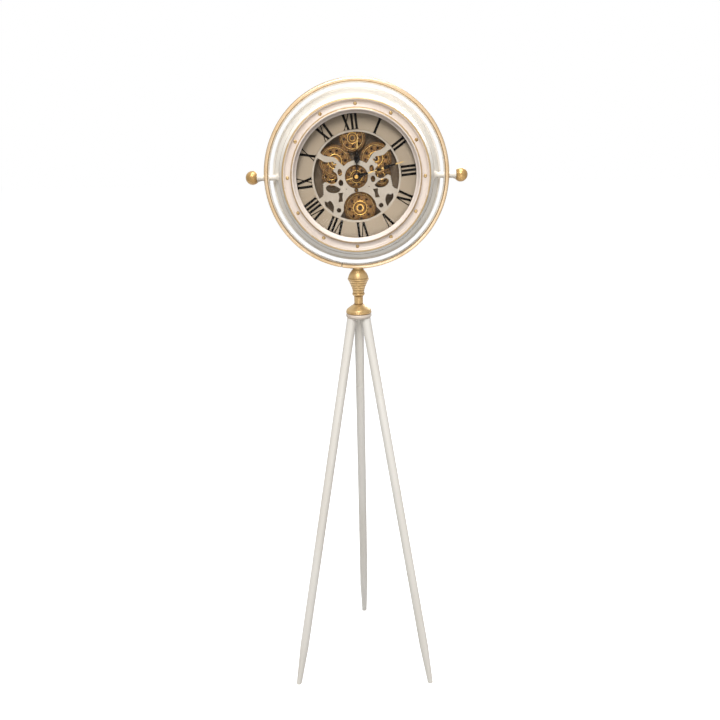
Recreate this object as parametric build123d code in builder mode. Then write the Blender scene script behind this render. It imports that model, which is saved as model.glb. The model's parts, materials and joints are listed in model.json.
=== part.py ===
from build123d import *
import os
from math import acos, atan2, cos, degrees, hypot, pi, radians, sin, sqrt, tan

# A clock with a round case hangs between two pivots in a hoop on a three-legged stand.
# Lengths are millimetres, angles are degrees, +Z is up and the dial faces -Y.

# Overall sizes
overall_height = 1480
overall_width = 490
foot_circle_radius = 198

# Hoop
knob_reach = 41
hoop_radius = overall_width / 2 - knob_reach
hoop_wall = 11
hoop_depth = 22
hoop_edge_radius = 4.6
hoop_swing_gap = 5.7

# Turned column, from the hoop down
bulb_height = 56
bulb_band_radius = 24.9
bulb_band_height = 3
bulb_band_z = 30.5
bulb_top_radius = 12.4
bulb_base_radius = 12.9
bulb_groove_depth = 0.7
bulb_groove_pitch = 4.2
bulb_groove_count = 4
neck_height = 27
neck_radius = 10.3
neck_collar_radius = 14.7
neck_collar_height = 9
dome_height = 22
dome_radius = 29.9
dome_widest_z = 5.5
dome_base_radius = 27.8
column_rod_radius = 4
column_rod_grip = 7
column_rod_proud = 1

# Hub under the column
hub_thickness = 10
hub_radius = 29.8
hub_base_radius = 27
hub_spigot_radius = 9.5
hub_spigot_height = 6
hub_nut_recess_radius = 8.2
hub_nut_recess_depth = 8.5
column_washer_radius = 8
column_washer_thickness = 1.6
nut_height = 6.5
nut_flats = 13

# Legs
leg_count = 3
leg_radius = 11.1
leg_top_circle = 18.5
leg_upper_length = 190
leg_joint_chamfer = 0.9
foot_tip_radius = 6.8
foot_taper_length = 106
leg_bolt_radius = 3
leg_bolt_head_radius = 5
leg_bolt_head_height = 4.5
leg_bolt_head_recess = 1
leg_bolt_grip = 42
leg_dowel_radius = 4
leg_dowel_length = 60

# Case of the clock: s is the distance forward of the hoop's middle plane
shell_wall = 1.2
shell_back_s = -38
shell_back_flange = 10
shell_rim_radius = hoop_radius - hoop_wall - hoop_swing_gap
shell_back_taper = 29.3
shell_back_radius = shell_rim_radius - shell_back_taper
shell_rim_s = -20
shell_bead_radius = 2.2
shell_cove_depth = 15.8
shell_shoulder_radius = shell_rim_radius - shell_cove_depth
shell_shoulder_s = 10
shell_shoulder_step = 1.6
shell_front_taper = 11
shell_front_radius = shell_shoulder_radius - shell_front_taper
shell_front_s = 44
rear_cover_thickness = 1.2
rear_cover_margin = 2
rear_cover_window = 66
rear_cover_window_corner = 5
rear_screw_count = 6
rear_screw_start_angle = 30
rear_screw_circle = shell_back_radius - shell_back_flange / 2
rear_screw_radius = 1.5
rear_screw_head_radius = 3
rear_screw_head_height = 1.8
rear_screw_length = 5

# Bezel, glass and its retainer
bezel_floor = 2.5
bezel_skirt_height = 5
bezel_outer_bead_radius = 3.4
bezel_outer_bead_inset = 3.6
bezel_inner_bead_radius = 2.6
bezel_width = 23.5
bezel_inner_bead_circle = shell_front_radius - bezel_width
bezel_inner_bead_height = 9
bezel_lip_width = 7.6
bezel_opening_radius = bezel_inner_bead_circle - bezel_lip_width
bezel_lip_height = 1.6
rivet_count = 12
rivet_inset = 12.5
rivet_circle = shell_front_radius - rivet_inset
rivet_head_radius = 3.1
rivet_head_height = 2.2
rivet_shank_radius = 1.2
rivet_shank_length = 4.5
glass_thickness = 2.5
glass_margin = 1
glass_radius = bezel_inner_bead_circle + glass_margin
glass_clearance = 2.5
shell_front_flange = shell_front_radius - glass_radius - glass_clearance
retainer_thickness = 1.2
retainer_lap = 7
retainer_bore = glass_radius - retainer_lap
retainer_width = 15
retainer_radius = retainer_bore + retainer_width

# Carrier plate, dial and skeleton plate
carrier_s = 9
carrier_thickness = 1.5
carrier_margin = 0.1
dial_s = 28
dial_thickness = 1.2
dial_margin = 20.5
dial_radius = shell_front_radius - dial_margin
dial_ring_width = 43
dial_bore = dial_radius - dial_ring_width
dial_turn = 6
dial_post_count = 6
dial_post_start_angle = 30
dial_post_radius = 3
dial_post_inset = 6
dial_post_circle = dial_radius - dial_post_inset
window_rim = 4
window_radius = dial_bore - window_rim
skeleton_thickness = 1.2
skeleton_lap = 7
skeleton_radius = dial_bore + skeleton_lap
skeleton_ring_bore = 25
skeleton_tooth_depth = 2.4
skeleton_tooth_count = 6
skeleton_round_hole_radius = 5
skeleton_arch_radius = 36.3
skeleton_hook_hole_radius = 2.6
screw_eye_radius = 4.4
screw_eye_bore = 2
screw_eye_height = 1.2
screw_eye_shank_radius = 2.6
screw_eye_x = -3.5
screw_eye_z = -28.2

# Numerals
numeral_height = 32.6
numeral_gap = 0.2
numeral_inner_radius = dial_bore + numeral_gap
numeral_thickness = 0.3
numeral_thick_stroke = 5.2
numeral_thin_stroke = 2.1
numeral_serif_height = 1.4
numeral_serif_overhang = 1.2
numeral_i_width = 8.6
numeral_vx_width = 17.4

# Gears
gear_module = 1.25
gear_thickness = 3
gear_pressure_angle = 20
gear_backlash = 0.3
gear_rear_s = 14.5
gear_front_s = 20.5
gear_bore_clearance = 0.05
gear_end_clearance = 0.3
gear_ring_height = 1
gear_ring_width = 2.6
gear_star_radius = 3.4
star_points = 5
upper_window_count = 10
wide_window_count = 8
side_window_count = 6
centre_front_window_count = 9
gear_rim_width = 5
centre_front_teeth = 36
centre_rear_teeth = 52
centre_hub_radius = 9
upper_teeth = 54
top_teeth = 44
bottom_teeth = 56
side_teeth = 34
pinion_teeth = 12
upper_left_bearing = 139
upper_right_bearing = 35
top_bearing = 45
bottom_bearing = 270
left_bearing = 172
right_bearing = -5
pinion_bearing = 300
arbor_radius = 2
arbor_head_radius = 4.2
arbor_head_height = 1.2
spacer_radius = 4
gear_motor_radius = 19
gear_motor_depth = 21
gear_motor_shaft_radius = 2
gear_motor_edge_radius = 2

# Batteries and the gear motor's battery box
battery_radius = 7.1
battery_length = 49.5
battery_button_radius = 2.7
battery_button_length = 1
movement_battery_drop = 18
battery_box_wall = 1.6
battery_pitch = 16
battery_end_room = 1.15
battery_side_room = 1.8
battery_lid_room = 0.6
battery_box_width = battery_length + battery_button_length
battery_box_width += 2 * (battery_box_wall + battery_end_room)
battery_box_height = battery_pitch + 2 * battery_radius
battery_box_height += 2 * (battery_box_wall + battery_side_room)
battery_box_depth = 2 * battery_radius + battery_box_wall + battery_lid_room
battery_box_inset = 60
battery_box_drop = shell_back_radius - battery_box_inset
battery_box_flange = 4
battery_box_flange_thickness = 1.2
battery_lid_thickness = 1.5
battery_lid_gap = 0.3
battery_lid_grip_count = 4
battery_lid_grip_height = 0.6
battery_lid_grip_width = 1.4
switch_knob_length = 6
switch_knob_height = 5
switch_knob_thickness = 2
switch_stem_length = 3
switch_stem_height = 2
switch_travel = 4
switch_clearance = 0.3
switch_body_length = 17
switch_body_height = 10
switch_body_depth = 7
switch_stem_reach = 3
switch_x = 52
switch_drop = 58

# Quartz movement, hands and setting wheel
movement_wall = 2.25
movement_width = battery_length + 2 * battery_button_length + 2 * movement_wall
movement_cell_room = 0.2
movement_depth = 2 * battery_radius + battery_box_wall + movement_cell_room
movement_corner = 4
movement_bush_radius = 4.5
movement_bush_end_s = 28
movement_nut_height = 3
movement_nut_flats = 12
hour_tube_radius = 3.2
hour_tube_start_s = 0
minute_arbor_radius = 2
running_clearance = 0.05
hour_hand_s = 33
minute_hand_s = 35.5
hand_thickness = 0.8
hand_boss_radius = 7.5
hour_hand_bearing = -2.3
minute_hand_bearing = -73.5
hour_hand_length = 85
hour_spade_width = 13
minute_hand_length = 106
minute_spade_width = 8.4
minute_wedge_width = 13
hand_tip_width = 1.3
hand_shaft_width = 2
hand_cap_radius = 4.6
hand_cap_height = 3
setting_wheel_radius = 7
setting_wheel_thickness = 3
setting_wheel_gap = 0.4
setting_wheel_notches = 18
setting_wheel_notch_radius = 0.6

# Pivots and knobs
rod_radius = 6.35
rod_flare_radius = 10.5
rod_flare_length = 9
rod_thread_radius = 4
rod_nut_inset = 2.1
rod_nut_outer_x = shell_shoulder_radius - rod_nut_inset
rod_nut_proud = 4.9
rod_inner_end = rod_nut_outer_x - nut_height - rod_nut_proud
bush_radius = 8.6
bush_clearance = 0.05
neck_gap = 0.3
knob_neck_radius = 6.9
knob_neck_flare_radius = 10.2
knob_radius = 15
knob_thread_depth = 18
knob_thread_clearance = 0.05

# One overrun serves all cuts
overrun = 2

# Heights that follow from the sizes above
head_z = overall_height - hoop_radius
hoop_bottom_z = overall_height - 2 * hoop_radius
bulb_z = hoop_bottom_z - bulb_height
neck_z = bulb_z - neck_height
dome_z = neck_z - dome_height
hub_z = dome_z - hub_thickness

# The origin lies on the floor, midway between the front feet and the rear foot
leg_lean = atan2(foot_circle_radius - leg_top_circle, hub_z)
foot_half_length = foot_tip_radius / cos(leg_lean)
front_share = cos(pi / leg_count)
front_reach = foot_circle_radius * front_share + hypot(
    foot_half_length * front_share, foot_tip_radius * sin(pi / leg_count)
)
rear_reach = foot_circle_radius + foot_half_length
stand_y = (front_reach - rear_reach) / 2

stand_axis = Axis((0, stand_y, 0), (0, 0, 1))
head_axis = Axis((0, stand_y, head_z), (0, -1, 0))
tilt_axis = Axis((0, stand_y, head_z), (1, 0, 0))
# Profile planes: x is the radius, y runs along the axis
stand_profile = Plane(origin=(0, stand_y, 0), x_dir=(1, 0, 0), z_dir=(0, -1, 0))
head_profile = Plane(origin=(0, stand_y, head_z), x_dir=(1, 0, 0), z_dir=(0, 0, -1))
# This one holds the tilt axis: x runs along it, y is up
tilt_profile = Plane(origin=(0, stand_y, head_z), x_dir=(1, 0, 0), z_dir=(0, -1, 0))


def face_plane(s, turn=0.0):
    # A plane seen from the front, s forward of the hoop, turned anticlockwise
    return Plane(
        origin=(0, stand_y - s, head_z),
        x_dir=(cos(radians(turn)), 0, sin(radians(turn))),
        z_dir=(0, -1, 0),
    )


def save(piece, name):
    piece.part.label = name
    export_step(piece.part, "parts/" + name + ".step")


os.makedirs("parts", exist_ok=True)

# Hoop, with bores for the pivot bushes and a blind hole for the column rod
with BuildPart() as hoop:
    with BuildSketch(head_profile):
        with Locations((hoop_radius - hoop_wall / 2, 0)):
            RectangleRounded(hoop_wall, hoop_depth, hoop_edge_radius)
    revolve(axis=head_axis)
    with BuildSketch(Plane(origin=(0, stand_y, head_z), z_dir=(1, 0, 0))):
        Circle(bush_radius)
    extrude(amount=hoop_radius + overrun, both=True, mode=Mode.SUBTRACT)
    with BuildSketch(Plane.XY.offset(hoop_bottom_z - overrun)):
        with Locations((0, stand_y)):
            Circle(column_rod_radius)
    extrude(amount=column_rod_grip + overrun, mode=Mode.SUBTRACT)
save(hoop, "hoop")

# Bushes that line the hoop's two bores
with BuildPart() as pivot_bushes:
    with BuildSketch(Plane(origin=(0, stand_y, head_z), z_dir=(1, 0, 0))):
        Circle(bush_radius)
        Circle(rod_radius + bush_clearance, mode=Mode.SUBTRACT)
    extrude(amount=hoop_radius, both=True)
    with BuildSketch(head_profile):
        with Locations((hoop_radius - hoop_wall / 2, 0)):
            RectangleRounded(hoop_wall, hoop_depth, hoop_edge_radius)
    revolve(axis=head_axis, mode=Mode.INTERSECT)
save(pivot_bushes, "pivot_bushes")

# Turned bulb under the hoop: grooved below its band, saddled to the hoop at the top
with BuildPart() as column_bulb:
    bulb_band_top = bulb_band_z + bulb_band_height
    bulb_edge = bulb_groove_depth
    with BuildSketch(stand_profile):
        with BuildLine():
            Polyline(
                (bulb_band_radius - 2 * bulb_edge, bulb_z + bulb_band_z - bulb_edge),
                (bulb_band_radius, bulb_z + bulb_band_z),
                (bulb_band_radius, bulb_z + bulb_band_top),
                (bulb_band_radius - bulb_edge, bulb_z + bulb_band_top + bulb_edge),
            )
            ThreePointArc(
                (bulb_band_radius - bulb_edge, bulb_z + bulb_band_top + bulb_edge),
                (0.82 * bulb_band_radius, bulb_z + 0.79 * bulb_height),
                (bulb_top_radius, bulb_z + 0.97 * bulb_height),
            )
            Polyline(
                (bulb_top_radius, bulb_z + 0.97 * bulb_height),
                (bulb_top_radius, bulb_z + bulb_height + overrun),
                (0, bulb_z + bulb_height + overrun),
                (0, bulb_z),
                (bulb_base_radius, bulb_z),
            )
            ThreePointArc(
                (bulb_base_radius, bulb_z),
                (0.66 * bulb_band_radius, bulb_z + 0.36 * bulb_band_z),
                (bulb_band_radius - 2 * bulb_edge, bulb_z + bulb_band_z - bulb_edge),
            )
        make_face()
    revolve(axis=stand_axis)
    for groove in range(bulb_groove_count):
        groove_z = bulb_band_z - bulb_edge - (groove + 1) * bulb_groove_pitch
        rise_share = groove_z / bulb_band_z
        groove_radius = bulb_base_radius + (bulb_band_radius - bulb_base_radius) * rise_share
        with BuildSketch(stand_profile):
            with Locations((groove_radius - bulb_groove_depth, bulb_z + groove_z)):
                Circle(bulb_groove_depth)
        revolve(axis=stand_axis, mode=Mode.SUBTRACT)
    with BuildSketch(Plane.XZ.offset(-stand_y)):
        with Locations((0, head_z)):
            Circle(hoop_radius)
    extrude(amount=bulb_band_radius, both=True, mode=Mode.SUBTRACT)
    with BuildSketch(Plane.XY.offset(bulb_z)):
        with Locations((0, stand_y)):
            Circle(column_rod_radius)
    extrude(amount=bulb_height + overrun, mode=Mode.SUBTRACT)
save(column_bulb, "column_bulb")

# Neck with its small collar
with BuildPart() as column_neck:
    with BuildSketch(stand_profile):
        with BuildLine():
            Polyline(
                (neck_radius, neck_z + neck_height - neck_collar_height),
                (neck_radius, neck_z),
                (column_rod_radius, neck_z),
                (column_rod_radius, neck_z + neck_height),
                (0.91 * neck_collar_radius, neck_z + neck_height),
            )
            ThreePointArc(
                (0.91 * neck_collar_radius, neck_z + neck_height),
                (neck_collar_radius, neck_z + neck_height - 0.35 * neck_collar_height),
                (neck_radius, neck_z + neck_height - neck_collar_height),
            )
        make_face()
    revolve(axis=stand_axis)
save(column_neck, "column_neck")

# Dome that flares down to the hub, hollow over the hub's spigot
with BuildPart() as column_dome:
    dome_top_z = dome_z + dome_height
    with BuildSketch(stand_profile):
        with BuildLine():
            Spline(
                (dome_radius, dome_z + dome_widest_z),
                (0.88 * dome_radius, dome_z + 0.49 * dome_height),
                (0.64 * dome_radius, dome_z + 0.74 * dome_height),
                (0.46 * dome_radius, dome_z + 0.91 * dome_height),
                (neck_radius, dome_top_z),
                tangents=((0, 1), (-1, 1)),
            )
            Polyline(
                (neck_radius, dome_top_z),
                (column_rod_radius, dome_top_z),
                (column_rod_radius, dome_z + hub_spigot_height),
                (hub_spigot_radius, dome_z + hub_spigot_height),
                (hub_spigot_radius, dome_z),
                (dome_base_radius, dome_z),
            )
            ThreePointArc(
                (dome_base_radius, dome_z),
                (dome_radius - 0.2 * (dome_radius - dome_base_radius), dome_z + dome_widest_z / 2),
                (dome_radius, dome_z + dome_widest_z),
            )
        make_face()
    revolve(axis=stand_axis)
save(column_dome, "column_dome")


def leg_bearing(index):
    # The rear leg comes first, then the front left and the front right one
    return 90 + index * 360 / leg_count


def leg_frame(index):
    # The plane at a foot, with z up along the leg and x across it
    bearing = radians(leg_bearing(index))
    outward = Vector(cos(bearing), sin(bearing), 0)
    foot = Vector(0, stand_y, 0) + outward * foot_circle_radius
    top = Vector(0, stand_y, hub_z) + outward * leg_top_circle
    across = Vector(-sin(bearing), cos(bearing), 0)
    return Plane(origin=foot, x_dir=across, z_dir=top - foot)


def leg_profile(index):
    # The plane that holds the leg's axis: x is the radius, y runs up the leg
    frame = leg_frame(index)
    return Plane(origin=frame.origin, x_dir=frame.x_dir, z_dir=frame.x_dir.cross(frame.z_dir))


def leg_axis(index):
    frame = leg_frame(index)
    return Axis(frame.origin, frame.z_dir)


leg_length = hypot(foot_circle_radius - leg_top_circle, hub_z)
leg_joint_height = leg_length - leg_upper_length
bolt_seat = leg_length + hub_thickness / cos(leg_lean) - leg_bolt_head_recess - leg_bolt_head_height
leg_names = ("rear", "left", "right")

# Hub: a round plate that takes the three legs below and the column above
with BuildPart() as hub_collar:
    with BuildSketch(stand_profile):
        with BuildLine():
            Polyline(
                (hub_base_radius, hub_z),
                (0, hub_z),
                (0, dome_z + hub_spigot_height),
                (hub_spigot_radius, dome_z + hub_spigot_height),
                (hub_spigot_radius, dome_z),
                (dome_base_radius, dome_z),
            )
            ThreePointArc(
                (dome_base_radius, dome_z),
                (hub_radius, hub_z + hub_thickness / 2),
                (hub_base_radius, hub_z),
            )
        make_face()
    revolve(axis=stand_axis)
    with BuildSketch(Plane.XY.offset(hub_z)):
        with Locations((0, stand_y)):
            Circle(column_rod_radius)
    extrude(amount=hub_thickness + hub_spigot_height, mode=Mode.SUBTRACT)
    with BuildSketch(Plane.XY.offset(hub_z)):
        with Locations((0, stand_y)):
            Circle(hub_nut_recess_radius)
    extrude(amount=hub_nut_recess_depth, mode=Mode.SUBTRACT)
    for leg in range(leg_count):
        with BuildSketch(leg_frame(leg).offset(bolt_seat)):
            Circle(leg_bolt_head_radius)
        extrude(amount=leg_bolt_head_height + leg_bolt_head_recess + overrun, mode=Mode.SUBTRACT)
        with BuildSketch(leg_frame(leg).offset(leg_length - overrun)):
            Circle(leg_bolt_radius)
        extrude(amount=bolt_seat - leg_length + 2 * overrun, mode=Mode.SUBTRACT)
save(hub_collar, "hub_collar")

# Bolts from the hub down into the legs, and dowels that join the legs' two sections
with BuildPart() as leg_fasteners:
    for leg in range(leg_count):
        with BuildSketch(leg_frame(leg).offset(bolt_seat - leg_bolt_grip)):
            Circle(leg_bolt_radius)
        extrude(amount=leg_bolt_grip)
        with BuildSketch(leg_frame(leg).offset(bolt_seat)):
            Circle(leg_bolt_head_radius)
        extrude(amount=leg_bolt_head_height)
        with BuildSketch(leg_frame(leg).offset(bolt_seat + leg_bolt_head_height / 2)):
            RegularPolygon(leg_bolt_radius, 6)
        extrude(amount=leg_bolt_head_height, mode=Mode.SUBTRACT)
        with BuildSketch(leg_frame(leg).offset(leg_joint_height - leg_dowel_length / 2)):
            Circle(leg_dowel_radius)
        extrude(amount=leg_dowel_length)
save(leg_fasteners, "leg_fasteners")

# Column rod, its washer and its nut in the hub's recess
rod_bottom_z = hub_z - column_rod_proud
with BuildPart() as column_rod:
    with BuildSketch(Plane.XY.offset(rod_bottom_z)):
        with Locations((0, stand_y)):
            Circle(column_rod_radius)
    extrude(amount=hoop_bottom_z + column_rod_grip - rod_bottom_z)
save(column_rod, "column_rod")

recess_top_z = hub_z + hub_nut_recess_depth
nut_top_z = recess_top_z - column_washer_thickness
with BuildPart() as column_washer:
    with BuildSketch(Plane.XY.offset(nut_top_z)):
        with Locations((0, stand_y)):
            Circle(column_washer_radius)
            Circle(column_rod_radius, mode=Mode.SUBTRACT)
    extrude(amount=column_washer_thickness)
save(column_washer, "column_washer")

with BuildPart() as column_nut:
    with BuildSketch(Plane.XY.offset(nut_top_z - nut_height)):
        with Locations((0, stand_y)):
            RegularPolygon(nut_flats / 2, 6, major_radius=False)
            Circle(column_rod_radius, mode=Mode.SUBTRACT)
    extrude(amount=nut_height)
save(column_nut, "column_nut")


def upper_leg(index):
    # The upper section runs from its joint to the hub's flat underside
    with BuildPart() as piece:
        with BuildSketch(leg_profile(index)):
            with BuildLine():
                Polyline(
                    (0, leg_joint_height),
                    (leg_radius - leg_joint_chamfer, leg_joint_height),
                    (leg_radius, leg_joint_height + leg_joint_chamfer),
                    (leg_radius, leg_length + leg_radius),
                    (0, leg_length + leg_radius),
                    close=True,
                )
            make_face()
        revolve(axis=leg_axis(index))
        split(bisect_by=Plane.XY.offset(hub_z), keep=Keep.BOTTOM)
        with BuildSketch(leg_frame(index).offset(bolt_seat - leg_bolt_grip)):
            Circle(leg_bolt_radius)
        extrude(amount=leg_bolt_grip + leg_radius, mode=Mode.SUBTRACT)
        with BuildSketch(leg_frame(index).offset(leg_joint_height)):
            Circle(leg_dowel_radius)
        extrude(amount=leg_dowel_length / 2, mode=Mode.SUBTRACT)
    return piece


def lower_leg(index):
    # The lower section tapers to a foot that is cut flat at the floor
    with BuildPart() as piece:
        with BuildSketch(leg_profile(index)):
            with BuildLine():
                Polyline(
                    (0, -foot_tip_radius),
                    (foot_tip_radius, -foot_tip_radius),
                    (foot_tip_radius, 0),
                    (leg_radius, foot_taper_length),
                    (leg_radius, leg_joint_height - leg_joint_chamfer),
                    (leg_radius - leg_joint_chamfer, leg_joint_height),
                    (0, leg_joint_height),
                    close=True,
                )
            make_face()
        revolve(axis=leg_axis(index))
        split(bisect_by=Plane.XY, keep=Keep.TOP)
        with BuildSketch(leg_frame(index).offset(leg_joint_height - leg_dowel_length / 2)):
            Circle(leg_dowel_radius)
        extrude(amount=leg_dowel_length, mode=Mode.SUBTRACT)
    return piece


for leg, leg_name in enumerate(leg_names):
    save(upper_leg(leg), "upper_leg_" + leg_name)
    save(lower_leg(leg), "lower_leg_" + leg_name)


def shell_outline():
    # The case's outer line, from the front flange round the rim to the rear flange
    front_inner = shell_front_radius - shell_front_flange
    back_inner = shell_back_radius - shell_back_flange
    foot_radius = shell_rim_radius - shell_bead_radius
    Polyline(
        (front_inner, shell_front_s),
        (shell_front_radius, shell_front_s),
        (shell_shoulder_radius - shell_shoulder_step, shell_shoulder_s + shell_shoulder_step),
        (shell_shoulder_radius, shell_shoulder_s),
    )
    cove_end = (foot_radius, shell_rim_s + shell_bead_radius)
    ThreePointArc(
        (shell_shoulder_radius, shell_shoulder_s),
        (
            shell_shoulder_radius + 0.3 * (foot_radius - shell_shoulder_radius),
            shell_shoulder_s - 0.68 * (shell_shoulder_s - cove_end[1]),
        ),
        cove_end,
    )
    ThreePointArc(
        cove_end,
        (shell_rim_radius, shell_rim_s),
        (foot_radius, shell_rim_s - shell_bead_radius),
    )
    Polyline(
        (foot_radius, shell_rim_s - shell_bead_radius),
        (shell_back_radius, shell_back_s),
        (back_inner, shell_back_s),
    )


# Filled form of the case, which the pivot rods are seated on
with BuildPart() as case_form:
    with BuildSketch(head_profile):
        with BuildLine():
            shell_outline()
            Polyline(
                (shell_back_radius - shell_back_flange, shell_back_s),
                (0, shell_back_s),
                (0, shell_front_s),
                (shell_front_radius - shell_front_flange, shell_front_s),
            )
        make_face()
    revolve(axis=head_axis)

with BuildPart() as drum_shell:
    with BuildSketch(head_profile):
        with BuildLine() as shell_line:
            shell_outline()
            offset(amount=shell_wall, side=Side.RIGHT, kind=Kind.INTERSECTION)
        make_face()
    revolve(axis=head_axis)
    with BuildSketch(Plane(origin=(0, stand_y, head_z), z_dir=(1, 0, 0))):
        Circle(rod_thread_radius)
    extrude(amount=shell_rim_radius, both=True, mode=Mode.SUBTRACT)
    with BuildSketch(face_plane(shell_front_s - overrun)):
        with PolarLocations(rivet_circle, rivet_count):
            Circle(rivet_shank_radius)
    extrude(amount=2 * overrun, mode=Mode.SUBTRACT)
    with BuildSketch(face_plane(shell_back_s - overrun)):
        with PolarLocations(rear_screw_circle, rear_screw_count, rear_screw_start_angle):
            Circle(rear_screw_radius)
    extrude(amount=2 * overrun, mode=Mode.SUBTRACT)
save(drum_shell, "drum_shell")

# Rear cover, screwed to the shell's rear flange, with a window on the movement
battery_box_z = head_z - battery_box_drop
cover_outer_s = shell_back_s - rear_cover_thickness
switch_slot_length = switch_stem_length + switch_travel + 2 * switch_clearance
switch_slot_height = switch_stem_height + 2 * switch_clearance
with BuildPart() as rear_cover:
    with BuildSketch(face_plane(cover_outer_s)):
        Circle(shell_back_radius - rear_cover_margin)
        RectangleRounded(
            rear_cover_window, rear_cover_window, rear_cover_window_corner, mode=Mode.SUBTRACT
        )
        with Locations((0, -battery_box_drop)):
            Rectangle(battery_box_width, battery_box_height, mode=Mode.SUBTRACT)
        with Locations((switch_x + switch_travel / 2, -switch_drop)):
            Rectangle(switch_slot_length, switch_slot_height, mode=Mode.SUBTRACT)
        with PolarLocations(rear_screw_circle, rear_screw_count, rear_screw_start_angle):
            Circle(rear_screw_radius, mode=Mode.SUBTRACT)
    extrude(amount=rear_cover_thickness)
    fillet(rear_cover.faces().sort_by(Axis.Y)[-1].outer_wire().edges(), rear_cover_thickness / 2)
save(rear_cover, "rear_cover")

with BuildPart() as rear_screws:
    with BuildSketch(face_plane(cover_outer_s)):
        with PolarLocations(rear_screw_circle, rear_screw_count, rear_screw_start_angle):
            Circle(rear_screw_radius)
    extrude(amount=rear_screw_length)
    with BuildSketch(face_plane(cover_outer_s - rear_screw_head_height)):
        with PolarLocations(rear_screw_circle, rear_screw_count, rear_screw_start_angle):
            Circle(rear_screw_head_radius)
    extrude(amount=rear_screw_head_height)
    fillet(
        rear_screws.faces().group_by(Axis.Y)[-1].edges(), rear_screw_head_height / 2
    )
    with BuildSketch(face_plane(cover_outer_s - rear_screw_head_height)):
        with PolarLocations(rear_screw_circle, rear_screw_count, rear_screw_start_angle):
            Rectangle(rear_screw_head_radius, rear_screw_radius / 3)
            Rectangle(rear_screw_radius / 3, rear_screw_head_radius)
    extrude(amount=rear_screw_head_height / 2, mode=Mode.SUBTRACT)
save(rear_screws, "rear_screws")

# Bezel: a skirt and bead outside, a hollow channel, a bead inside and a lip down to the glass
floor_s = shell_front_s + bezel_floor
outer_bead_circle = shell_front_radius - bezel_outer_bead_inset
with BuildPart() as bezel:
    inner_bead_s = shell_front_s + bezel_inner_bead_height
    skirt_s = shell_front_s + bezel_skirt_height
    channel_outer = outer_bead_circle - bezel_outer_bead_radius
    channel_inner = bezel_inner_bead_circle + bezel_inner_bead_radius
    with BuildSketch(head_profile):
        with BuildLine():
            Polyline(
                (bezel_inner_bead_circle - bezel_inner_bead_radius, inner_bead_s),
                (bezel_opening_radius, shell_front_s + bezel_lip_height),
                (bezel_opening_radius, shell_front_s),
                (shell_front_radius, shell_front_s),
                (shell_front_radius, skirt_s),
            )
            ThreePointArc(
                (shell_front_radius, skirt_s),
                (outer_bead_circle, skirt_s + bezel_outer_bead_radius),
                (channel_outer, skirt_s),
            )
            ThreePointArc(
                (channel_outer, skirt_s),
                (rivet_circle, floor_s),
                (channel_inner, inner_bead_s - bezel_inner_bead_radius / 2),
            )
            Line(
                (channel_inner, inner_bead_s - bezel_inner_bead_radius / 2),
                (channel_inner, inner_bead_s),
            )
            ThreePointArc(
                (channel_inner, inner_bead_s),
                (bezel_inner_bead_circle, inner_bead_s + bezel_inner_bead_radius),
                (bezel_inner_bead_circle - bezel_inner_bead_radius, inner_bead_s),
            )
        make_face()
    revolve(axis=head_axis)
    with BuildSketch(face_plane(shell_front_s)):
        with PolarLocations(rivet_circle, rivet_count):
            Circle(rivet_shank_radius)
    extrude(amount=bezel_skirt_height, mode=Mode.SUBTRACT)
save(bezel, "bezel")

# Dome-headed rivets that hold the bezel to the shell, one at the top and every 30 degrees
with BuildPart() as bezel_rivets:
    with BuildSketch(face_plane(floor_s)):
        with PolarLocations(rivet_circle, rivet_count):
            Circle(rivet_shank_radius)
    extrude(amount=-rivet_shank_length)
    with BuildSketch(face_plane(floor_s)):
        with PolarLocations(rivet_circle, rivet_count):
            Circle(rivet_head_radius)
    extrude(amount=rivet_head_height)
    fillet(bezel_rivets.faces().group_by(Axis.Y)[0].edges(), 0.9 * rivet_head_height)
    add(bezel.part, mode=Mode.SUBTRACT)
save(bezel_rivets, "bezel_rivets")

glass_back_s = shell_front_s - glass_thickness
with BuildPart() as glass:
    with BuildSketch(face_plane(glass_back_s)):
        Circle(glass_radius)
    extrude(amount=glass_thickness)
save(glass, "glass")

# Ring that traps the glass: it is stepped to bear on the shell's front flange too
with BuildPart() as glass_retainer:
    flange_back_s = shell_front_s - shell_wall
    with BuildSketch(face_plane(glass_back_s - retainer_thickness)):
        Circle(retainer_radius)
        Circle(retainer_bore, mode=Mode.SUBTRACT)
    extrude(amount=retainer_thickness)
    with BuildSketch(face_plane(glass_back_s)):
        Circle(retainer_radius)
        Circle(shell_front_radius - shell_front_flange, mode=Mode.SUBTRACT)
    extrude(amount=flange_back_s - glass_back_s)
save(glass_retainer, "glass_retainer")


def gear_centre(distance, bearing):
    # A place on the dial, in its own turned frame
    return (distance * cos(radians(bearing)), distance * sin(radians(bearing)))


def pitch_radius(teeth):
    return gear_module * teeth / 2


upper_distance = pitch_radius(centre_front_teeth) + pitch_radius(upper_teeth)
top_distance = pitch_radius(upper_teeth) + pitch_radius(top_teeth)
bottom_distance = pitch_radius(centre_rear_teeth) + pitch_radius(bottom_teeth)
side_distance = pitch_radius(centre_rear_teeth) + pitch_radius(side_teeth)
pinion_distance = pitch_radius(bottom_teeth) + pitch_radius(pinion_teeth)

upper_left_place = gear_centre(upper_distance, upper_left_bearing)
upper_right_place = gear_centre(upper_distance, upper_right_bearing)
top_place = (
    upper_left_place[0] + gear_centre(top_distance, top_bearing)[0],
    upper_left_place[1] + gear_centre(top_distance, top_bearing)[1],
)
bottom_place = gear_centre(bottom_distance, bottom_bearing)
left_place = gear_centre(side_distance, left_bearing)
right_place = gear_centre(side_distance, right_bearing)
pinion_place = (
    bottom_place[0] + gear_centre(pinion_distance, pinion_bearing)[0],
    bottom_place[1] + gear_centre(pinion_distance, pinion_bearing)[1],
)
front_arbor_places = (upper_left_place, upper_right_place, top_place)
rear_arbor_places = (bottom_place, left_place, right_place)


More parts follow.
